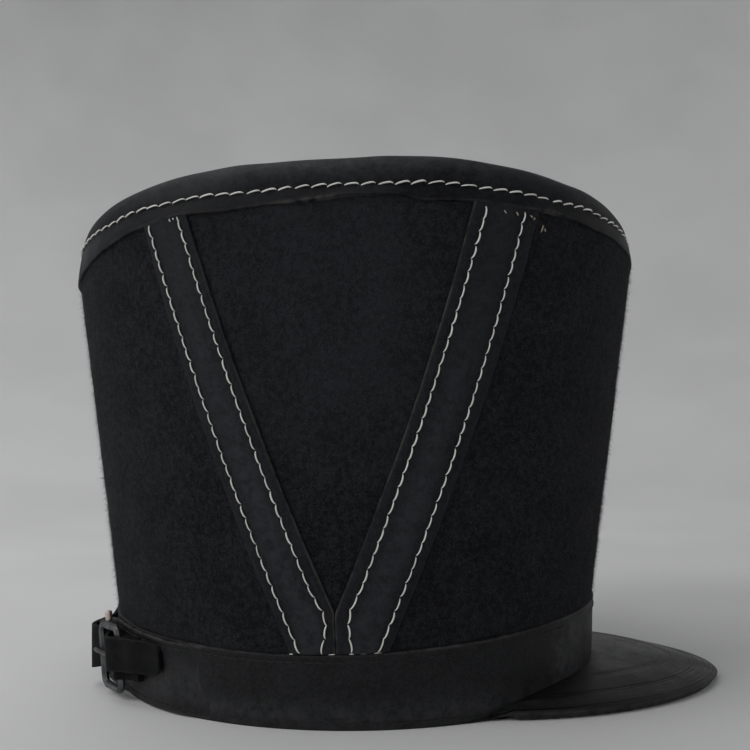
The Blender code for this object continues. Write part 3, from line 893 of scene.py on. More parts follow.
class Wardrobe:
    """Every material of the hat, made once."""

    def __init__(self) -> None:
        """Make the shared effects and the materials."""
        leather = leather_effect()
        felt = felt_effect()
        self.felt = Felt("wool_felt", roughness=1.0, specular=0.15).make(felt)
        # the nap's fibres are painted several times paler than the felt, a painted sheen on the fuzz
        self.nap = Felt("wool_nap_painted_sheen", roughness=1.0, specular=0.15, dark=(0.018, 0.018, 0.021),
                        pale=(0.075, 0.076, 0.082), sheen=0.20).make(felt)
        self.crown = Leather("crown_leather", roughness=0.52, specular=0.09, dark=(0.0010, 0.0011, 0.0014),
                             pale=(0.0122, 0.0132, 0.0156), haze=(0.0340, 0.0358, 0.0405)).make(leather)
        self.strap = Leather("strap_leather", roughness=0.60, specular=0.14, dark=(0.0028, 0.0032, 0.0042),
                             pale=(0.0175, 0.0189, 0.0224), haze=(0.0285, 0.0303, 0.0350)).make(leather)
        # darker copy of the leather: painted shade for the closing strap's tail and the buckle's leather tab, which
        # lie in shadow behind the buckle
        self.shaded_leather = Leather("chape_leather", roughness=0.66, specular=0.08, dark=(0.0010, 0.0011, 0.0014),
                             pale=(0.0085, 0.0088, 0.0100), haze=(0.0160, 0.0164, 0.0180)).make(leather)
        self.band = Leather("band_leather", roughness=0.50, dark=(0.0020, 0.0021, 0.0026),
                            pale=(0.0170, 0.0176, 0.0198), haze=(0.0440, 0.0450, 0.0480)).make(leather)
        self.peak = TooledLeather("peak_leather", roughness=0.44, specular=0.20, coat=0.05, coat_roughness=0.30,
                                  dark=(0.0010, 0.0010, 0.0012), pale=(0.0125, 0.0128, 0.0138),
                                  haze=(0.0300, 0.0304, 0.0316), worn=(0.034, 0.034, 0.034)).make(leather)
        self.white_thread = Thread("white_thread", roughness=0.75, specular=0.2).make()
        self.soiled_thread = Thread("soiled_thread", roughness=0.75, specular=0.2, color=(0.46, 0.41, 0.33),
                                    shade=(0.24, 0.18, 0.15)).make()
        self.black_thread = Thread("black_thread", roughness=0.6, specular=0.25, color=(0.016, 0.016, 0.017),
                                   shade=(0.006, 0.006, 0.007)).make()
        self.steel = Metal("dull_steel", roughness=0.42, metallic=1.0).make()
        self.copper = Metal("dull_copper", roughness=0.45, metallic=1.0, color=(0.62, 0.52, 0.48),
                            tarnish=(0.40, 0.30, 0.26)).make()


# ---------------------------------------------------------------- thread
@dataclass(frozen=True)
class StitchKind:
    """Size and lie of one kind of stitch, which runs along x with y to its side and z outwards."""

    pitch: float
    length: float
    radius: float
    arch: float
    bow: float = 0.0
    slope: float = 0.0
    hook: float = 0.0
    bluntness: float = 0.85
    hook_from: float = 0.6

    def mirrored(self) -> "StitchKind":
        """The same stitch, leaning to its other side."""
        return replace(self, bow=-self.bow, slope=-self.slope, hook=-self.hook)

    def model(self) -> bpy.types.Object:
        """One stitch: thread that rises out of its hole, bows to one side and dips into the next hole.

        Returns:
            The stitch, round the origin.
        """
        deselect_all()
        bpy.ops.mesh.primitive_uv_sphere_add(segments=6, ring_count=9, radius=1.0, rotation=(0.0, math.pi / 2, 0.0))
        item = bpy.context.object
        bpy.ops.object.transform_apply(location=False, rotation=True, scale=False)
        for vertex in item.data.vertices:
            along, side, up = vertex.co
            blunt = math.copysign(abs(along) ** self.bluntness, along)
            full = self.radius * math.sqrt(1 + along * along)
            tail = max(blunt - self.hook_from, 0.0) / (1 - self.hook_from)
            vertex.co.x = blunt * self.length / 2
            bowed = self.bow * (1 - blunt * blunt)
            vertex.co.y = side * full + bowed + self.slope * vertex.co.x - self.hook * tail ** 2
            vertex.co.z = up * full + self.arch * (1 - 1.5 * blunt ** 6)
        return item


@dataclass
class StitchRow:
    """A row of stitches along a line of points, each with its direction outwards."""

    kind: StitchKind
    points: Array
    outward: Array
    seed: int = 1
    opening: float = 0.0

    def places(self) -> Array:
        """Matrices of the row's stitches, stepped along the line with a hand's unevenness.

        With an opening above 0 the steps grow from the line's start to its end.

        Returns:
            One 4 by 4 matrix for each stitch.
        """
        run = np.r_[0.0, np.cumsum(np.linalg.norm(np.diff(self.points, axis=0), axis=1))]
        count = max(int(round(run[-1] / self.kind.pitch)), 1)
        chance = np.random.default_rng(self.seed)
        share = (np.arange(count) + 0.5) / count
        step = 1 - self.opening + 2 * self.opening * share
        centres = (share * (1 - self.opening) + self.opening * share ** 2) * run[-1]
        centres += chance.uniform(-0.05, 0.05, count) * run[-1] / count

        def at(values: Array) -> Array:
            """Values of the line at the stitches' centres."""
            return np.stack([np.interp(centres, run, axis) for axis in values.T], axis=1)

        along = at(np.gradient(self.points, axis=0))
        along /= np.linalg.norm(along, axis=1, keepdims=True)
        outward = at(self.outward)
        along += np.cross(outward, along) * chance.normal(0, 0.045, (count, 1))
        sizes = np.stack([step * chance.uniform(0.93, 1.05, count), chance.uniform(0.85, 1.15, count),
                          chance.uniform(0.95, 1.05, count)], axis=1)
        return place_matrices(at(self.points), along, outward, sizes)


def form_row(kind: StitchKind, angle: Array, height: Array, offset: Array | float, seed: int,
             opening: float = 0.0) -> StitchRow:
    """Lay a row of stitches on the hat's form.

    Args:
        kind: The stitch.
        angle: Angles along the row.
        height: Heights along the row.
        offset: Distances outwards from the felt.
        seed: Choice of the row's unevenness.
        opening: How much the steps grow from the row's start to its end.

    Returns:
        The row.
    """
    return StitchRow(kind, FORM.place(angle, height, offset), FORM.outward(angle, height), seed, opening)


def sew(name: str, kind: StitchKind, rows: Iterable[Array], material: bpy.types.Material
        ) -> bpy.types.Object:
    """Make the stitches of several rows of one kind as one piece.

    Args:
        name: Name of the piece.
        kind: The stitch that is copied.
        rows: Matrices of each row's stitches.
        material: The thread's material.

    Returns:
        The piece.
    """
    item = repeat_shape(kind.model(), np.concatenate(list(rows)), name)
    return finish_piece(item, material, smooth_degrees=THREAD_SMOOTHING)


CROWN_STITCH = StitchKind(pitch=0.0057, length=0.0055, radius=0.00030, arch=0.00036, bow=0.00030, slope=0.17,
                          hook=0.0004)
STRAP_STITCH = StitchKind(pitch=0.0049, length=0.0049, radius=0.00028, arch=0.00034, bow=0.00042, hook=0.0002)
BLACK_STITCH = StitchKind(pitch=0.0036, length=0.0031, radius=0.00026, arch=0.00012, bow=0.00008)
THREAD_END = StitchKind(pitch=0.001, length=0.001, radius=0.00026, arch=0.00030)


# ---------------------------------------------------------------- felt body
@dataclass
class FeltBody:
    """The felt tube and the short nap that stands on it."""

    wall: float = 0.0025
    step: float = 0.0014
    foot: float = 0.0008
    under_band: float = -0.0011
    at_edge: float = -0.0001
    under_rim: float = -0.0011
    under_crown: float = -0.0040
    gap: float = 0.0003
    columns: int = 340
    rows: int = 96
    fibres: int = 40000
    fibre_length: float = 0.0015
    fibre_radius: float = 0.000050
    fibre_root: float = 0.0002

    def build(self, wardrobe: Wardrobe) -> None:
        """Make the tube and its nap.

        Args:
            wardrobe: The hat's materials.
        """
        self.tube(wardrobe)
        for name, start, seed in (("felt_nap_right", -math.pi, 11), ("felt_nap_left", 0.0, 12)):
            self.nap(name, start, seed, wardrobe)

    def tube(self, wardrobe: Wardrobe) -> None:
        """Felt tube, tucked in behind the band at its foot and behind the rim at its top.

        Args:
            wardrobe: The hat's materials.
        """
        sheet = Sheet("felt_cloth", self.columns, self.rows)
        angle = (sheet.u * 2 - 1) * math.pi
        top = FORM.rim_foot(angle)
        band = FORM.band_top
        level = np.ones_like(angle)
        stations = [(0.0, self.under_band, level * self.foot),
                    (0.08, self.under_band, level * (band - self.step)),
                    (0.10, self.at_edge, level * (band - self.gap)),
                    (0.12, 0.0, level * (band + self.step)),
                    (0.93, 0.0, top - self.step),
                    (0.945, self.at_edge, top + self.gap),
                    (0.96, self.under_rim, top + self.step),
                    (1.0, self.under_crown, level * FORM.seam)]
        shares, offsets, heights = zip(*stations)
        offset = np.interp(sheet.v, shares, offsets)
        height = np.zeros_like(angle)
        for (low, high), (low_height, high_height) in zip(zip(shares, shares[1:]), zip(heights, heights[1:])):
            inside = (sheet.v >= low - 1e-9) & (sheet.v <= high + 1e-9)
            part = (sheet.v - low) / (high - low)
            height = np.where(inside, low_height + (high_height - low_height) * part, height)
        sheet.wrap(FORM.place(angle, height, offset))
        open_felt = fade(sheet.v, 0.10, 0.16) * (1 - fade(sheet.v, 0.88, 0.93))
        lumps = ripple(sheet.points, 0.060, 21) * 0.00020 + ripple(sheet.points, 0.011, 22) * 0.00007
        lumps = lumps + ripple(sheet.points, 0.006, 23) * 0.00005
        sheet.press(lumps * open_felt)
        # painted sheen of the nap: the felt is painted paler in the middle of each side, from 7 cm up
        within = bump_at(np.abs(np.degrees(angle)), 90, 20) * fade(height, 0.07, 0.12)
        sheet.mark("painted_nap_sheen", within * (0.8 + 0.3 * ripple(sheet.points, 0.04, 24)).clip(0, 1.2))
        sheet.close_round()
        sheet.thicken(self.wall, 0.0)
        finish_piece(sheet.item, wardrobe.felt, ["felt_body"])

    def nap(self, name: str, start: float, seed: int, wardrobe: Wardrobe) -> None:
        """Short fibres over half of the open felt.

        Args:
            name: Name of the piece.
            start: Angle at which the half begins.
            seed: Choice of the fibres' places.
            wardrobe: The hat's materials.
        """
        chance = np.random.default_rng(seed)
        angle = start + chance.uniform(0, math.pi, self.fibres * 2)
        low = FORM.band_top + self.gap
        height = low + (FORM.rim_foot(angle) - self.gap - low) * chance.uniform(0, 1, self.fibres * 2) ** 0.92
        bare = np.flatnonzero(~under_arms(angle, height))[:self.fibres]
        angle, height = angle[bare], height[bare]
        count = len(bare)
        outward = FORM.outward(angle, height)
        lean = outward * 0.8 + np.array([0.0, 0.0, -0.45]) + chance.normal(0, 0.55, (count, 3))
        lean += outward * np.maximum(0.2 - np.sum(lean * outward, axis=1, keepdims=True), 0.0)
        along = chance.normal(size=(count, 3))
        length = chance.gamma(3.5, 1 / 3.5, count).clip(0.25, 2.4)
        sizes = np.stack([np.ones(count), np.ones(count), length], axis=1)
        deselect_all()
        middle = self.fibre_length / 2 - self.fibre_root
        bpy.ops.mesh.primitive_cone_add(vertices=3, radius1=self.fibre_radius, radius2=0.0,
                                        depth=self.fibre_length, location=(0.0, 0.0, middle))
        template = bpy.context.object
        bpy.ops.object.transform_apply(location=True, rotation=False, scale=False)
        places = place_matrices(FORM.place(angle, height), along, lean, sizes)
        finish_piece(repeat_shape(template, places, name), wardrobe.nap, smooth_degrees=THREAD_SMOOTHING)


# ---------------------------------------------------------------- crown
@dataclass
class Crown:
    """The leather top with its turned-down rim and its white seam."""

    leather: float = 0.0018
    rim_proud: float = 0.0010
    seam_proud: float = -0.0019
    inset: float = 0.0139
    rise: float = 0.0132
    sag: float = 0.0020
    columns: int = 540
    rows: int = 58
    rim_end: float = 0.20
    shoulder_end: float = 0.60
    edge: float = 0.0005
    holes: int = 130

    def build(self, wardrobe: Wardrobe) -> None:
        """Make the leather top and sew it.

        Args:
            wardrobe: The hat's materials.
        """
        sheet = Sheet("crown_leather_top", self.columns, self.rows)
        angle = (sheet.u * 2 - 1) * math.pi
        degrees = np.degrees(angle)
        self.shape(sheet, angle)
        curled = bump_at(degrees, -91, 3.5) + 0.8 * bump_at(degrees, -53, 4) + 0.5 * bump_at(degrees, 70, 6)
        edge = (1 - fade(sheet.v, 0.0, 0.035)) * (0.35 + 0.2 * ripple(sheet.points, 0.04, 35))
        sheet.mark("edge", np.clip(edge + curled * (1 - fade(sheet.v, 0.01, 0.07)) * 0.7, 0, 1))
        # painted highlight on the rounded shoulder, and a painted lit patch low on the rim at the back of the wearer's
        # right side, towards the key light
        shoulder = bump_at(sheet.v, 0.38, 0.14) * 0.75
        sheet.mark("painted_shine", shoulder + bump_at(sheet.v, 0.10, 0.06) * bump_at(degrees, -145, 16))
        sheet.close_round()
        sheet.thicken(self.leather, self.edge)
        finish_piece(sheet.item, wardrobe.crown, ["crown_top"])
        turn = np.linspace(-math.pi, math.pi, 2400)
        wander = 0.00035 * np.sin(turn * 9 + 1) + 0.0002 * np.sin(turn * 23)
        seam = form_row(CROWN_STITCH, turn, FORM.seam + wander, self.seam_proud + 0.00008, seed=3)
        sew("crown_seam_thread", CROWN_STITCH, [seam.places()], wardrobe.white_thread)

    def shape(self, sheet: Sheet, angle: Array) -> None:
        """Wrap the sheet: rim up to the seam, round the shoulder, and over the top.

        Args:
            sheet: The flat sheet.
            angle: Angle of each of its corners.
        """
        degrees = np.degrees(angle)
        rim = np.clip(sheet.v / self.rim_end, 0, 1)
        turn = np.clip((sheet.v - self.rim_end) / (self.shoulder_end - self.rim_end), 0, 1) * math.pi / 2
        over = np.clip((sheet.v - self.shoulder_end) / (1 - self.shoulder_end), 0, 1)
        foot = FORM.rim_foot(angle)
        height = foot + (FORM.seam - foot) * rim
        curl = 0.0006 * (bump_at(degrees, -87, 5) + bump_at(degrees, -54, 4)) * (1 - rim) ** 3
        pressed = 0.0006 * fade(degrees, -45, -25) * (1 - fade(degrees, 20, 60)) * (1 - rim) ** 2
        over_strap = sum(bump_at(np.abs(degrees), centre, 6.0) ** 0.5 for centre in (62, 112)) * (1 - rim) ** 1.5
        proud = self.rim_proud + (self.seam_proud - self.rim_proud) * rim ** 1.3 + curl - pressed + 0.0006 * over_strap
        points = FORM.place(angle, height, proud - self.inset * (1 - np.cos(turn)), 1 - over)
        points[..., 2] += self.rise * np.sin(turn) - self.sag * (1 - (1 - over) ** 2)
        sheet.wrap(points)
        stitches = sheet.u * 2 * math.pi * self.holes
        pull = bump_at(sheet.v, self.rim_end, 0.020) * (0.75 + 0.25 * np.cos(stitches))
        dents = ripple(points, 0.055, 32) * 0.00036 + ripple(points, 0.020, 33) * 0.00010
        soft = fade(sheet.v, self.rim_end, 0.30)
        sheet.press(dents * soft - 0.00030 * pull + 0.00014 * ripple(points, 0.016, 34) * (1 - soft))


# ---------------------------------------------------------------- chevrons
@dataclass(frozen=True)
class Curve:
    """A line up the side: distance forward in millimetres, as a curve of the share of the way up."""

    foot: float
    slope: float
    bend: float

    def forward(self, share: Array) -> Array:
        """Distances forward of the hat's middle, in metres."""
        return (self.foot + self.slope * share + self.bend * share ** 2) / MILLIMETRES


@dataclass(frozen=True)
class Arm:
    """One arm of the V: its cut edges, and its two rows of stitches.

    The row nearest the seam leaves its curve near the foot and follows turn_in, which gives distances
    forward in millimetres at shares of the way up.
    """

    name: str
    rear_edge: Curve
    front_edge: Curve
    outer_row: Curve
    inner_row: Curve
    turn_in: tuple[tuple[float, float], ...]

    def inner(self, share: Array) -> Array:
        """Distances forward of the row nearest the seam.

        Args:
            share: Shares of the way up.

        Returns:
            Distances in metres.
        """
        turn_shares = [row[0] for row in self.turn_in]
        last = turn_shares[-1]
        rejoin = last + 0.05
        joined = [*[row[1] / MILLIMETRES for row in self.turn_in], float(self.inner_row.forward(np.array(rejoin)))]
        near = np.interp(share, [*turn_shares, rejoin], joined)
        return np.where(share < rejoin, near, self.inner_row.forward(share))


ARMS = (
    Arm("rear", Curve(-13.0, -65.54, 15.93), Curve(9.04, -67.52, 13.02), Curve(-9.20, -62.59, 11.37),
        Curve(4.26, -65.42, 12.75), ((0.003, -2.01), (0.045, -0.34), (0.065, 0.27), (0.093, -0.61))),
    Arm("front", Curve(-3.31, 75.52, -16.24), Curve(21.34, 72.64, -15.96), Curve(17.21, 71.69, -16.10),
        Curve(2.24, 70.81, -12.92), ((0.004, 8.51), (0.031, 7.96), (0.064, 7.60), (0.097, 8.34))),
)
ARM_SEAM = 0.0030


def under_arms(angle: Array, height: Array) -> Array:
    """Whether a strap of a V lies over each place on the felt.

    Args:
        angle: Angles round the hat in radians.
        height: Heights on the form.

    Returns:
        True where the felt is covered.
    """
    share = (height - FORM.band_top) / (FORM.seam - FORM.band_top)
    side_size = np.sign(np.cos(angle)) * np.abs(np.cos(angle)) ** (2 / FORM.size("squareness", height))
    forward = side_size * FORM.size("half_length", height) + FORM.size("forward", height)
    covered = np.zeros(np.shape(angle), dtype=bool)
    for arm in ARMS:
        covered |= (forward > arm.rear_edge.forward(share)) & (forward < arm.front_edge.forward(share))
    return covered


class Side(Enum):
    """Sides of the wearer, with the sign of their angles."""

    RIGHT = -1
    LEFT = 1


@dataclass(frozen=True)
class ThreadEnd:
    """A knot or a loose end: where it lies on the right side, its length and its lean in the side's plane."""

    forward: float
    height: float
    length: float
    lean: float
    soiled: bool = False


@dataclass
class Chevron:
    """The V of sewn leather straps on one side."""

    side: Side
    leather: float = 0.0011
    gap: float = 0.0003
    dip: float = 0.00020
    skive: float = 0.0003
    top: float = 0.965
    edge: float = 0.0003
    stitch_width: float = 0.0010
    columns: int = 44
    rows: int = 170
    ends: tuple[ThreadEnd, ...] = (
        ThreadEnd(-46.9, 175.9, 1.7, 105), ThreadEnd(-50.0, 176.0, 1.1, 105), ThreadEnd(-48.6, 176.2, 0.7, 85),
        ThreadEnd(64.3, 174.7, 1.4, 125, True), ThreadEnd(68.4, 174.6, 1.4, 118, True),
        ThreadEnd(73.3, 174.4, 1.3, 140, True), ThreadEnd(74.2, 173.9, 1.0, 60, True),
        ThreadEnd(76.9, 171.2, 2.7, 72, True), ThreadEnd(77.9, 170.9, 1.2, 100, True))
    crease: tuple[tuple[float, float], ...] = ((1.5, 2.6), (8.5, 2.0), (12.5, 2.4), (17.5, 3.4), (-12.7, 1.6))

    def build(self, wardrobe: Wardrobe) -> None:
        """Make the two straps, sew them down and leave the ends of the thread.

        Args:
            wardrobe: The hat's materials.
        """
        label = self.side.name.lower()
        for number, arm in enumerate(ARMS):
            self.strap(arm, f"chevron_{label}_{arm.name}", wardrobe)
            bowed_back = (arm.name == "rear") == (self.side is Side.RIGHT)
            kind = STRAP_STITCH.mirrored() if bowed_back else STRAP_STITCH
            rows = [self.row(kind, arm, inner, 40 + 2 * number + inner).places() for inner in (0, 1)]
            sew(f"chevron_{label}_{arm.name}_thread", kind, rows, wardrobe.white_thread)
        clean = self.end_places([end for end in self.ends if not end.soiled])
        sew(f"chevron_{label}_knots", THREAD_END, [clean, self.crease_places()], wardrobe.white_thread)
        soiled = self.end_places([end for end in self.ends if end.soiled])
        sew(f"chevron_{label}_loose_ends", THREAD_END, [soiled], wardrobe.soiled_thread)

    def height(self, share: Array) -> Array:
        """Heights at shares of the way from the band to the seam."""
        return FORM.band_top + (FORM.seam - FORM.band_top) * share

    def row(self, kind: StitchKind, arm: Arm, inner: int, seed: int) -> StitchRow:
        """A row of stitches on a strap, from its top down to its foot.

        Args:
            kind: The stitch.
            arm: The strap's arm of the V.
            inner: 1 for the row nearest the seam, 0 for the other.
            seed: Choice of the row's unevenness.

        Returns:
            The row.
        """
        up = np.linspace(0.957, 0.004, 600)
        forward = arm.inner(up) if inner else arm.outer_row.forward(up)
        height = self.height(up)
        angle = FORM.angle_at(forward, height) * self.side.value
        return form_row(kind, angle, height, self.gap + self.leather - 0.00006, seed, opening=0.082)

    def end_places(self, ends: Sequence[ThreadEnd]) -> Array:
        """Matrices of knots and loose ends on the straps and the felt beside them.

        Args:
            ends: The knots and ends.

        Returns:
            One 4 by 4 matrix for each.
        """
        forward = np.array([end.forward for end in ends]) / MILLIMETRES
        height = np.array([end.height for end in ends]) / MILLIMETRES
        lean = np.radians([end.lean for end in ends])
        angle = FORM.angle_at(forward, height) * self.side.value
        nudge = 0.0004
        other = FORM.angle_at(forward + nudge * np.cos(lean), height + nudge * np.sin(lean)) * self.side.value
        points = FORM.place(angle, height, self.gap + self.leather)
        along = FORM.place(other, height + nudge * np.sin(lean), self.gap + self.leather) - points
        length = np.array([end.length for end in ends])
        sizes = np.stack([length, np.full(len(ends), 0.9), np.ones(len(ends))], axis=1)
        return place_matrices(points, along, FORM.outward(angle, height), sizes)

    def crease_places(self) -> Array:
        """Matrices of the under-thread that shows between the straps' foot and the band.

        Returns:
            One 4 by 4 matrix for each short length of thread.
        """
        forward = np.array([row[0] for row in self.crease]) / MILLIMETRES
        height = np.full(len(forward), FORM.band_top + 0.0004)
        angle = FORM.angle_at(forward, height) * self.side.value
        points = FORM.place(angle, height, self.gap + self.leather * 0.7)
        along = FORM.place(angle + 0.001, height, self.gap) - FORM.place(angle - 0.001, height, self.gap)
        sizes = np.stack([[row[1] for row in self.crease], np.full(len(forward), 0.6), np.full(len(forward), 0.6)],
                         axis=1)
        return place_matrices(points, along, FORM.outward(angle, height), sizes)

    def strap(self, arm: Arm, name: str, wardrobe: Wardrobe) -> None:
        """One strap, cut on the butt seam at its foot and against the rim at its top.

        Args:
            arm: Its edges and rows.
            name: The CAD node that it stands for.
            wardrobe: The hat's materials.
        """
        sheet = Sheet(name + "_leather", self.columns, self.rows)
        across = sheet.u if self.side is Side.LEFT else 1 - sheet.u
        share = sheet.v * self.top
        rear = arm.rear_edge.forward(share)
        front = arm.front_edge.forward(share)
        if arm.name == "rear":
            front = np.minimum(front, ARM_SEAM - self.gap / 3)
        else:
            rear = np.maximum(rear, ARM_SEAM + self.gap / 3)
        forward = front + (rear - front) * across
        angle = FORM.angle_at(forward, self.height(share)) * self.side.value
        foot = FORM.band_top + self.gap
        height = foot + (FORM.rim_foot(angle) + self.gap - foot) * sheet.v
        angle = FORM.angle_at(forward, height) * self.side.value
        sheet.wrap(FORM.place(angle, height, self.gap + self.leather))
        outer_gone = np.abs(forward - arm.outer_row.forward(share))
        inner_gone = np.abs(forward - arm.inner(share))
        sunk = bump_at(outer_gone, 0.0, self.stitch_width) + bump_at(inner_gone, 0.0, self.stitch_width)
        crown = bump_at(forward, (arm.outer_row.forward(share) + arm.inner(share)) / 2, 0.0050)
        edge = np.minimum(np.abs(forward - front), np.abs(forward - rear))
        skived = (1 - fade(edge, 0.0, 0.0022)) * self.skive
        sheet.press(ripple(sheet.points, 0.030, 51) * 0.00014 - self.dip * sunk + crown * 0.00016 - skived)
        panel_edge = front if arm.name == "rear" else rear
        facing = 0.25 + 0.75 * (np.abs(forward - panel_edge) < 0.0030)
        wear = (0.70 + 0.45 * ripple(sheet.points, 0.04, 52)).clip(0, 1)
        sheet.mark("edge", (1 - fade(edge, 0.0001, 0.0009)) * wear * facing)
        # painted shine on the raised middle between the rows, less in the stitch grooves and more towards the foot,
        # for the floor's reflected light
        sheet.mark("painted_shine", np.clip((crown * 1.2 - sunk * 0.2) * (1.25 - share), 0, 1))
        sheet.thicken(self.leather, self.edge)
        finish_piece(sheet.item, wardrobe.strap, [name])


# ---------------------------------------------------------------- band
@dataclass
class LowerBand:
    """The leather band round the foot, sewn with black thread near both edges."""

    leather: float = 0.0018
    edge: float = 0.0004
    columns: int = 420
    rows: int = 30
    stitch_rows: tuple[float, float] = (0.0270, 0.0029)
    stitch_width: float = 0.0009

    def build(self, wardrobe: Wardrobe) -> None:
        """Make the band and its two rows of stitches.

        Args:
            wardrobe: The hat's materials.
        """
        sheet = Sheet("band_leather", self.columns, self.rows)
        angle = (sheet.u * 2 - 1) * math.pi
        height = FORM.band_top * sheet.v
        sheet.wrap(FORM.place(angle, height, FORM.band_proud))
        dip = sum(bump_at(height, row, self.stitch_width) for row in self.stitch_rows)
        free = fade(sheet.v, 0.0, 0.2)
        soft = ripple(sheet.points * np.array([1, 1, 0.6]), 0.045, 61) * 0.00022
        bulge = bump_at(sheet.v, 0.5, 0.32) * (0.00025 + 0.0004 * bump_at(np.degrees(angle), -38, 18))
        sheet.press(soft * free + ripple(sheet.points, 0.014, 62) * 0.00007 * free - 0.00010 * dip + bulge)
        points = sheet.points
        points[0, :, 2] = 0.0
        sheet.wrap(points)
        degrees = np.degrees(angle)
        soft_mask = fade(degrees, -88, -66) * (1 - fade(degrees, 60, 110))
        wear = 0.45 + 0.5 * soft_mask + 0.35 * ripple(points, 0.05, 63)
        sheet.mark("edge", (1 - fade(FORM.band_top - height, 0.0002, 0.0011)) * wear.clip(0, 1))
        # painted light: a lighter strip low on the band for the floor's reflection, and a painted glint on the
        # wearer's right towards the front
        glint = bump_at(degrees, -31, 6) * bump_at(sheet.v, 0.6, 0.4)
        sheet.mark("painted_shine", np.clip(bump_at(sheet.v, 0.20, 0.18) * 0.6 + glint * 1.5, 0, 1))
        sheet.close_round()
        sheet.thicken(self.leather, self.edge)
        finish_piece(sheet.item, wardrobe.band, ["lower_band"])
        angle = np.linspace(math.pi, -math.pi, 1600)
        rows = [form_row(BLACK_STITCH, angle, np.full_like(angle, row), FORM.band_proud - 0.00010, 70 + seed).places()
                for seed, row in enumerate(self.stitch_rows)]
        sew("band_thread", BLACK_STITCH, rows, wardrobe.black_thread)


@dataclass(frozen=True)
class BuckleRest:
    """The buckle's frame of reference: u runs backwards, n outwards and up leans with the band."""

    angle: float = math.radians(-141)
    seat: float = 0.0250

    def axes(self) -> tuple[Array, Array, Array, Array]:
        """Origin on the floor, and the directions of u, n and up.

        Returns:
            The origin and the three directions.
        """
        step = math.radians(0.5)
        wall = FORM.place(self.angle, FORM.band_top) - FORM.place(self.angle, 0.0)
        back = FORM.place(self.angle - step, self.seat) - FORM.place(self.angle + step, self.seat)
        up = wall / np.linalg.norm(wall) + np.array([0.0, 0.0, 1.0])
        up /= np.linalg.norm(up)
        outwards = np.cross(up, back)
        outwards /= np.linalg.norm(outwards)
        seat = FORM.place(self.angle, self.seat, FORM.on_band + FORM.lap_leather)
        return seat - up * seat[2], np.cross(outwards, up), outwards, up


@dataclass
class BandEnd:
    """The band's end: lapped over the band at the back, then straight on to carry the buckle."""

    start: float = math.radians(-116)
    full: float = math.radians(-126)
    leave: float = math.radians(-149)
    foot: float = 0.0006
    top: float = 0.0294
    run: float = 0.0240
    tip_foot: float = 0.0035
    tip_top: float = 0.0262
    straight: float = 0.27
    edge: float = 0.0004
    columns: int = 110
    rows: int = 36
    stitch_rows: tuple[float, float] = (0.0268, 0.0031)
    stitch_width: float = 0.0009

    def face(self, along: Array, height: Array) -> Array:
        """Points of the outer face.

        Args:
            along: 0 at the free tip to 1 where the lap starts.
            height: Heights before the tip's taper.

        Returns:
            The points.
        """
        past = np.clip(1 - along / self.straight, 0, 1)
        lapped = np.clip((along - self.straight) / (1 - self.straight), 0, 1)
        angle = self.leave + (self.start - self.leave) * lapped
        grown = fade(self.start - angle, 0.0, self.start - self.full)
        offset = FORM.band_proud + 0.00004 + (FORM.on_band + FORM.lap_leather - FORM.band_proud) * grown
        share = (height - self.foot) / (self.top - self.foot)
        foot = self.foot + (self.tip_foot - self.foot) * past ** 2
        top = self.top + (self.tip_top - self.top) * past ** 2
        points = FORM.place(angle, foot + (top - foot) * share, offset)
        _, backwards, _, _ = BuckleRest().axes()
        return points + (self.run * past)[..., None] * backwards

    def build(self, wardrobe: Wardrobe) -> None:
        """Make the band's end and its stitches.

        Args:
            wardrobe: The hat's materials.
        """
        sheet = Sheet("band_end_leather", self.columns, self.rows)
        height = self.foot + (self.top - self.foot) * sheet.v
        sheet.wrap(self.face(sheet.u, height))
        dip = sum(bump_at(height, row, self.stitch_width) for row in self.stitch_rows)
        sheet.press(ripple(sheet.points, 0.030, 64) * 0.00010 - 0.00010 * dip)
        rim = np.minimum(height - self.foot, self.top - height)
        rim = np.minimum(rim, sheet.u * 0.07)
        sheet.mark("edge", (1 - fade(rim, 0.0002, 0.0011)) * 0.8)
        # painted shine along the middle of its width
        sheet.mark("painted_shine", bump_at(sheet.v, 0.45, 0.3) * 0.6)
        sheet.thicken(FORM.lap_leather - 0.0001, self.edge)
        finish_piece(sheet.item, wardrobe.band, ["band_end"])
        rows = []
        along = np.linspace(0.02, 0.93, 300)
        for seed, row in enumerate(self.stitch_rows):
            points = self.face(along, np.full_like(along, row))
            upward = self.face(along, np.full_like(along, row + 0.0005)) - points
            outward = np.cross(np.gradient(points, axis=0), upward)
            outward /= np.linalg.norm(outward, axis=1, keepdims=True)
            rows.append(StitchRow(BLACK_STITCH, points - outward * 0.0001, outward, 74 + seed).places())
        sew("band_end_thread", BLACK_STITCH, rows, wardrobe.black_thread)


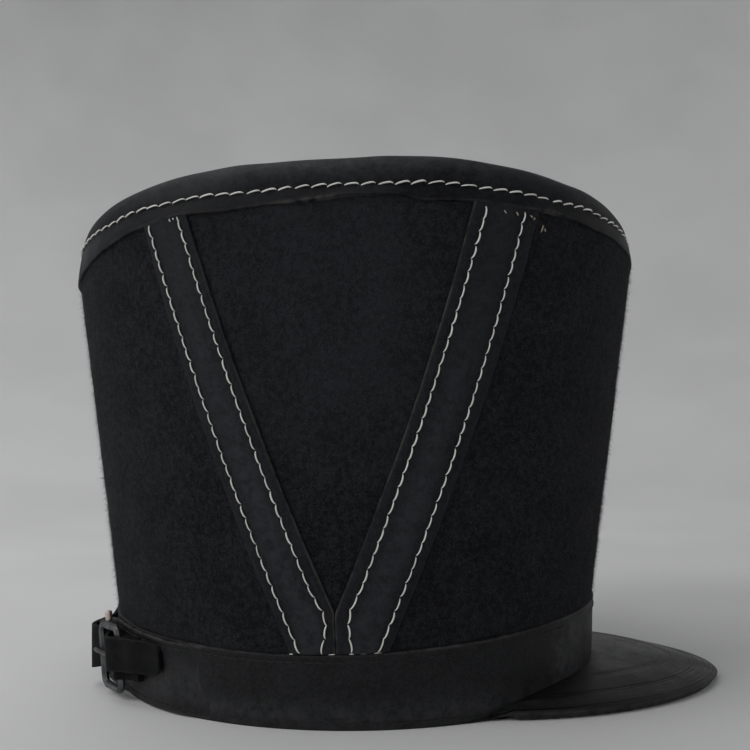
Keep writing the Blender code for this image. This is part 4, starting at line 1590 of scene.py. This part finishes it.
# ---------------------------------------------------------------- peak
@dataclass
class Peak:
    """The stiff polished peak with tooled lines along its edge."""

    leather: float = 0.0026
    root_angle: float = math.radians(55)
    centre: float = 0.0575
    length: float = 0.0962
    half_width: float = 0.0760
    squareness: float = 1.82
    horn_top: float = 0.0030
    root_top: float = 0.0112
    root_arch: float = 0.78
    tip_top: float = 0.0034
    dome: float = 1.8
    floor_gap: float = 0.0003
    horn_leather: float = 0.0003
    horn_start: float = 0.93
    horn_run: float = 0.12
    rounding: float = 0.0007
    columns: int = 220
    rows: int = 76

    def outline(self, turn: Array) -> Array:
        """Plan points of the outer edge for turns from -90 to 90 degrees.

        Args:
            turn: Turns from the tip in radians.

        Returns:
            Points on the floor.
        """
        power = 2.0 / self.squareness
        forward = self.centre + self.length * np.abs(np.cos(turn)) ** power
        side = self.half_width * signed_power(np.sin(turn), power)
        return np.stack([side, FORM.shift - forward, np.zeros_like(side)], axis=-1)

    def build(self, wardrobe: Wardrobe) -> None:
        """Make the peak, and mark the distances that its tooling follows.

        Args:
            wardrobe: The hat's materials.
        """
        sheet = Sheet("peak_leather", self.columns, self.rows)
        across = sheet.u * 2 - 1
        out = 1 - sheet.v
        arch = 1 - across ** 2
        root = FORM.place(across * self.root_angle, FORM.band_top / 3, 0.0011)
        rim = self.outline(across * math.pi / 2)
        thinning = fade(np.abs(across), self.horn_start, 1.0)
        horn = thinning[..., None]
        horn_angle = across * self.root_angle * (1 + self.horn_run * thinning)
        root = root * (1 - horn) + FORM.place(horn_angle, 0.0, 0.0009) * horn
        rim = rim * (1 - horn) + FORM.place(horn_angle, 0.0, 0.0013) * horn
        points = root + (rim - root) * out[..., None]
        root_z = self.horn_top + (self.root_top - self.horn_top) * arch ** self.root_arch
        edge_z = self.horn_top + (self.tip_top - self.horn_top) * arch
        points[..., 2] = (edge_z + (root_z - edge_z) * (1 - out ** self.dome)) * (1 - 0.85 * thinning)
        points[..., 2] = np.maximum(points[..., 2], self.floor_gap + self.horn_leather)
        sheet.wrap(points)
        edge_line = self.outline(np.linspace(-math.pi / 2, math.pi / 2, 721))[:, :2]
        run = np.r_[0.0, np.cumsum(np.linalg.norm(np.diff(edge_line, axis=0), axis=1))]
        gone = np.linalg.norm(points[:, :, None, :2] - edge_line[None, None, :, :], axis=-1)
        inside = np.min(gone, axis=-1)
        sheet.press(ripple(points, 0.040, 81) * 0.00016 * fade(inside, 0.001, 0.006)
                    - 0.00025 * bump_at(inside, 0.0208, 0.0014) - 0.00012 * bump_at(inside, 0.0090, 0.0010)
                    - self.rounding * (1 - fade(inside, 0.0, 0.0020)) ** 2)
        sheet.mark("edge", (1 - fade(inside, 0.0001, 0.0010)) * 0.9)
        # painted shine on a strip 5 mm in from the edge and over the peak inside the tooled border
        sheet.mark("painted_shine", bump_at(inside, 0.0050, 0.0022) * 0.6 + fade(inside, 0.0215, 0.0250) * 0.75)
        sheet.mark("inside", inside * MILLIMETRES)
        sheet.mark("along", (run[np.argmin(gone, axis=-1)] - run[-1] / 2) * MILLIMETRES)
        sheet.thicken(self.leather, 0.0)
        # what would sink into the floor is squeezed into a thin layer above it, top still over bottom
        lowest = self.floor_gap + self.horn_leather
        for vertex in sheet.item.data.vertices:
            sunk = max(0.0, lowest - vertex.co.z) / self.horn_leather
            if sunk > 0.0:
                vertex.co.z = self.floor_gap + self.horn_leather / (1.0 + sunk)
        finish_piece(sheet.item, wardrobe.peak, ["peak"])


# ---------------------------------------------------------------- buckle and back strap
@dataclass(frozen=True)
class TailStation:
    """One station of the closing strap past the band: its place and width in the buckle's frame."""

    u: float
    n: float
    foot: float
    top: float
    upright: float


@dataclass
class ClosingStrap:
    """The strap that comes round the back, passes through the buckle and ends in a rounded tip."""

    leather: float = 0.0018
    root_foot: float = 0.0060
    root_top: float = 0.0275
    middle: float = 0.0185
    root_angle: float = math.radians(150)
    lift_angle: float = math.radians(188)
    edge: float = 0.0005
    per_span: int = 5
    rows: int = 12
    tail: tuple[TailStation, ...] = (
        TailStation(0.0456, -0.0104, 0.0062, 0.0275, 0.3), TailStation(0.0428, -0.0058, 0.0070, 0.0273, 0.6),
        TailStation(0.0390, 0.0004, 0.0079, 0.0270, 1.0), TailStation(0.0342, 0.0030, 0.0090, 0.0268, 1.0),
        TailStation(0.0288, 0.0024, 0.0100, 0.0267, 0.6), TailStation(0.0240, 0.0005, 0.0110, 0.0266, 0.0),
        TailStation(0.0190, 0.0004, 0.0118, 0.0266, 0.0), TailStation(0.0125, 0.0039, 0.0125, 0.0267, 0.0),
        TailStation(0.0065, 0.0072, 0.0130, 0.0267, 0.0), TailStation(0.0025, 0.0080, 0.0133, 0.0267, 0.0),
        TailStation(-0.0040, 0.0052, 0.0135, 0.0266, 0.0), TailStation(-0.0110, 0.0034, 0.0135, 0.0264, 0.0),
        TailStation(-0.0165, 0.0004, 0.0133, 0.0260, 0.0), TailStation(-0.0205, -0.0008, 0.0133, 0.0254, 0.0),
        TailStation(-0.0230, -0.0014, 0.0144, 0.0242, 0.0), TailStation(-0.0244, -0.0017, 0.0164, 0.0222, 0.0))

    def route(self, share: Array) -> Array:
        """Middle of the strap's thickness: stations along it for each share of its width.

        Args:
            share: Shares of the width, from foot to top.

        Returns:
            Points, in rows of shares and columns of stations.
        """
        origin, backwards, outwards, up = BuckleRest().axes()
        root = self.root_foot + (self.root_top - self.root_foot) * share
        rest = FORM.on_band + self.leather / 2
        angles = np.linspace(self.root_angle, self.lift_angle, 13)
        stations = [FORM.place(angle, root, rest) for angle in angles]
        lean = math.hypot(up[0], up[1])
        for row in self.tail:
            height = row.foot + (row.top - row.foot) * share
            inward = (height - self.middle) * row.upright * lean
            stations.append(origin + row.u * backwards + (row.n - inward)[:, None] * outwards + height[:, None] * up)
        return np.stack(stations, axis=1)

    def build(self, wardrobe: Wardrobe) -> None:
        """Make the strap on a smooth curve through its stations.

        Args:
            wardrobe: The hat's materials.
        """
        share = np.linspace(0.0, 1.0, self.rows + 1)
        stations = self.route(share)
        padded = np.concatenate([2 * stations[:, :1] - stations[:, 1:2], stations,
                                 2 * stations[:, -1:] - stations[:, -2:-1]], axis=1)
        spans = stations.shape[1] - 1
        sheet = Sheet("closing_strap_leather", spans * self.per_span, self.rows)
        place = np.arange(spans * self.per_span + 1) / self.per_span
        first = np.minimum(place.astype(int), spans - 1)
        t = (place - first)[None, :, None]
        before, start, end, after = (padded[:, first + k] for k in range(4))
        curve = 0.5 * (2 * start + (end - before) * t + (2 * before - 5 * start + 4 * end - after) * t ** 2
                       + (3 * start - before - 3 * end + after) * t ** 3)
        sheet.wrap(curve)
        sheet.press(np.full(sheet.shape, self.leather / 2) + ripple(curve, 0.02, 66) * 0.00008)
        rim = np.minimum(sheet.v, 1 - sheet.v) * 0.016
        sheet.mark("edge", (1 - fade(rim, 0.0001, 0.0010)) * 0.25)
        # painted shine along the middle of its width
        sheet.mark("painted_shine", bump_at(sheet.v, 0.5, 0.3) * 0.3)
        sheet.thicken(self.leather, self.edge)
        # dressed in the darker leather: painted shade, as the tail lies in shadow
        finish_piece(sheet.item, wardrobe.shaded_leather, ["closing_strap"])


@dataclass
class BackBuckle:
    """The buckle's CAD nodes, dressed."""

    # the buckle's leather tab takes the darker leather, painted shade
    nodes: dict[str, str] = field(default_factory=lambda: {
        "buckle_chape": "shaded_leather", "buckle_frame": "steel", "buckle_prong": "steel", "pin_head": "copper"})

    def dress(self, wardrobe: Wardrobe) -> None:
        """Give the CAD nodes their materials.

        Args:
            wardrobe: The hat's materials.
        """
        for node, finish in self.nodes.items():
            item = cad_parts[node]
            material = getattr(wardrobe, finish)
            for slot in item.material_slots:
                slot.material = material
            LOG.info("%s: dressed in %s", node, material.name)


# ---------------------------------------------------------------- studio
@dataclass(frozen=True)
class Lamp:
    """A soft square light: where it hangs, the length of its sides, its watts and where it points."""

    name: str
    place: Point
    size: float
    power: float
    aim: Point = (0.0, 0.02, 0.10)


@dataclass
class Studio:
    """Pale round room, soft lights and the camera of the photograph."""

    radius: float = 2.2
    wall_height: float = 2.6
    corner: float = 1.6
    lamps: tuple[Lamp, ...] = (
        Lamp("key", (-1.0, 1.35, 1.15), 1.1, 14.0), Lamp("top", (0.15, 0.45, 1.75), 1.5, 7.5),
        Lamp("fill", (-1.3, -0.3, 0.8), 1.2, 1.0), Lamp("front", (0.45, -1.5, 0.45), 0.9, 1.5),
        Lamp("wall", (0.7, 0.5, 1.5), 0.9, 0.7, (2.0, 0.95, 0.45)))
    eye: Point = (-0.40927, -0.034281, 0.09991)
    look: Point = (0.99131, 0.10686, 0.07678)
    right: Point = (0.10829, -0.99401, -0.01471)
    focal_pixels: float = 900.0
    frame_pixels: float = 750.0
    sensor: float = 36.0
    air: Color = (0.95, 0.97, 1.0)
    air_strength: float = 0.13

    def build(self) -> None:
        """Make the room, the lights and the camera."""
        self.room()
        for lamp in self.lamps:
            self.light(lamp)
        world = bpy.data.worlds.new("studio_air")
        bpy.context.scene.world = world
        world.use_nodes = True
        background = world.node_tree.nodes["Background"]
        background.inputs["Color"].default_value = (*self.air, 1.0)
        background.inputs["Strength"].default_value = self.air_strength
        bpy.context.scene.view_settings.view_transform = "Standard"
        self.camera()

    def room(self) -> None:
        """Round floor that turns up into a wall with a wide corner."""
        deselect_all()
        bpy.ops.mesh.primitive_circle_add(vertices=128, radius=self.radius, fill_type="NGON", location=(0, 0, 0))
        item = bpy.context.object
        item.name = "studio_floor"
        bpy.ops.object.mode_set(mode="EDIT")
        bpy.ops.mesh.select_all(action="SELECT")
        bpy.ops.mesh.select_mode(type="EDGE")
        bpy.ops.mesh.region_to_loop()
        bpy.ops.mesh.extrude_region_move(TRANSFORM_OT_translate={"value": (0.0, 0.0, self.wall_height)})
        bpy.ops.object.mode_set(mode="OBJECT")
        turn = item.modifiers.new("corner", "BEVEL")
        turn.width = self.corner
        turn.segments = 48
        turn.limit_method = "ANGLE"
        turn.angle_limit = math.radians(60)
        apply_modifiers(item)
        item.data.materials.append(PaleCloth("studio_cloth", roughness=0.95, specular=0.1).make())
        bpy.ops.object.shade_smooth()

    def light(self, lamp: Lamp) -> None:
        """Hang one soft light.

        Args:
            lamp: The light's size, power and place.
        """
        data = bpy.data.lights.new(lamp.name, "AREA")
        data.size = lamp.size
        data.energy = lamp.power
        item = bpy.data.objects.new(lamp.name, data)
        bpy.context.scene.collection.objects.link(item)
        item.location = lamp.place
        item.rotation_euler = (Vector(lamp.aim) - Vector(lamp.place)).to_track_quat("-Z", "Y").to_euler()

    def camera(self) -> None:
        """Camera at the photograph's place and angle."""
        data = bpy.data.cameras.new("photo_camera")
        data.sensor_width = self.sensor
        data.lens = self.sensor * self.focal_pixels / self.frame_pixels
        data.clip_start = 0.01
        item = bpy.data.objects.new("photo_camera", data)
        bpy.context.scene.collection.objects.link(item)
        look, right = Vector(self.look).normalized(), Vector(self.right).normalized()
        up = right.cross(look)
        item.matrix_world = Matrix.Translation(self.eye) @ Matrix((right, up, -look)).transposed().to_4x4()
        bpy.context.scene.camera = item


def main() -> None:
    """Build the hat's pieces in the order in which a maker would, then the studio."""
    logging.basicConfig(level=logging.INFO, format="%(name)s %(message)s", stream=sys.stdout)
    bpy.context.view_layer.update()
    wardrobe = Wardrobe()
    FeltBody().build(wardrobe)
    Crown().build(wardrobe)
    for side in Side:
        Chevron(side).build(wardrobe)
    LowerBand().build(wardrobe)
    BandEnd().build(wardrobe)
    Peak().build(wardrobe)
    ClosingStrap().build(wardrobe)
    BackBuckle().dress(wardrobe)
    Studio().build()


if __name__ == "__main__":
    main()
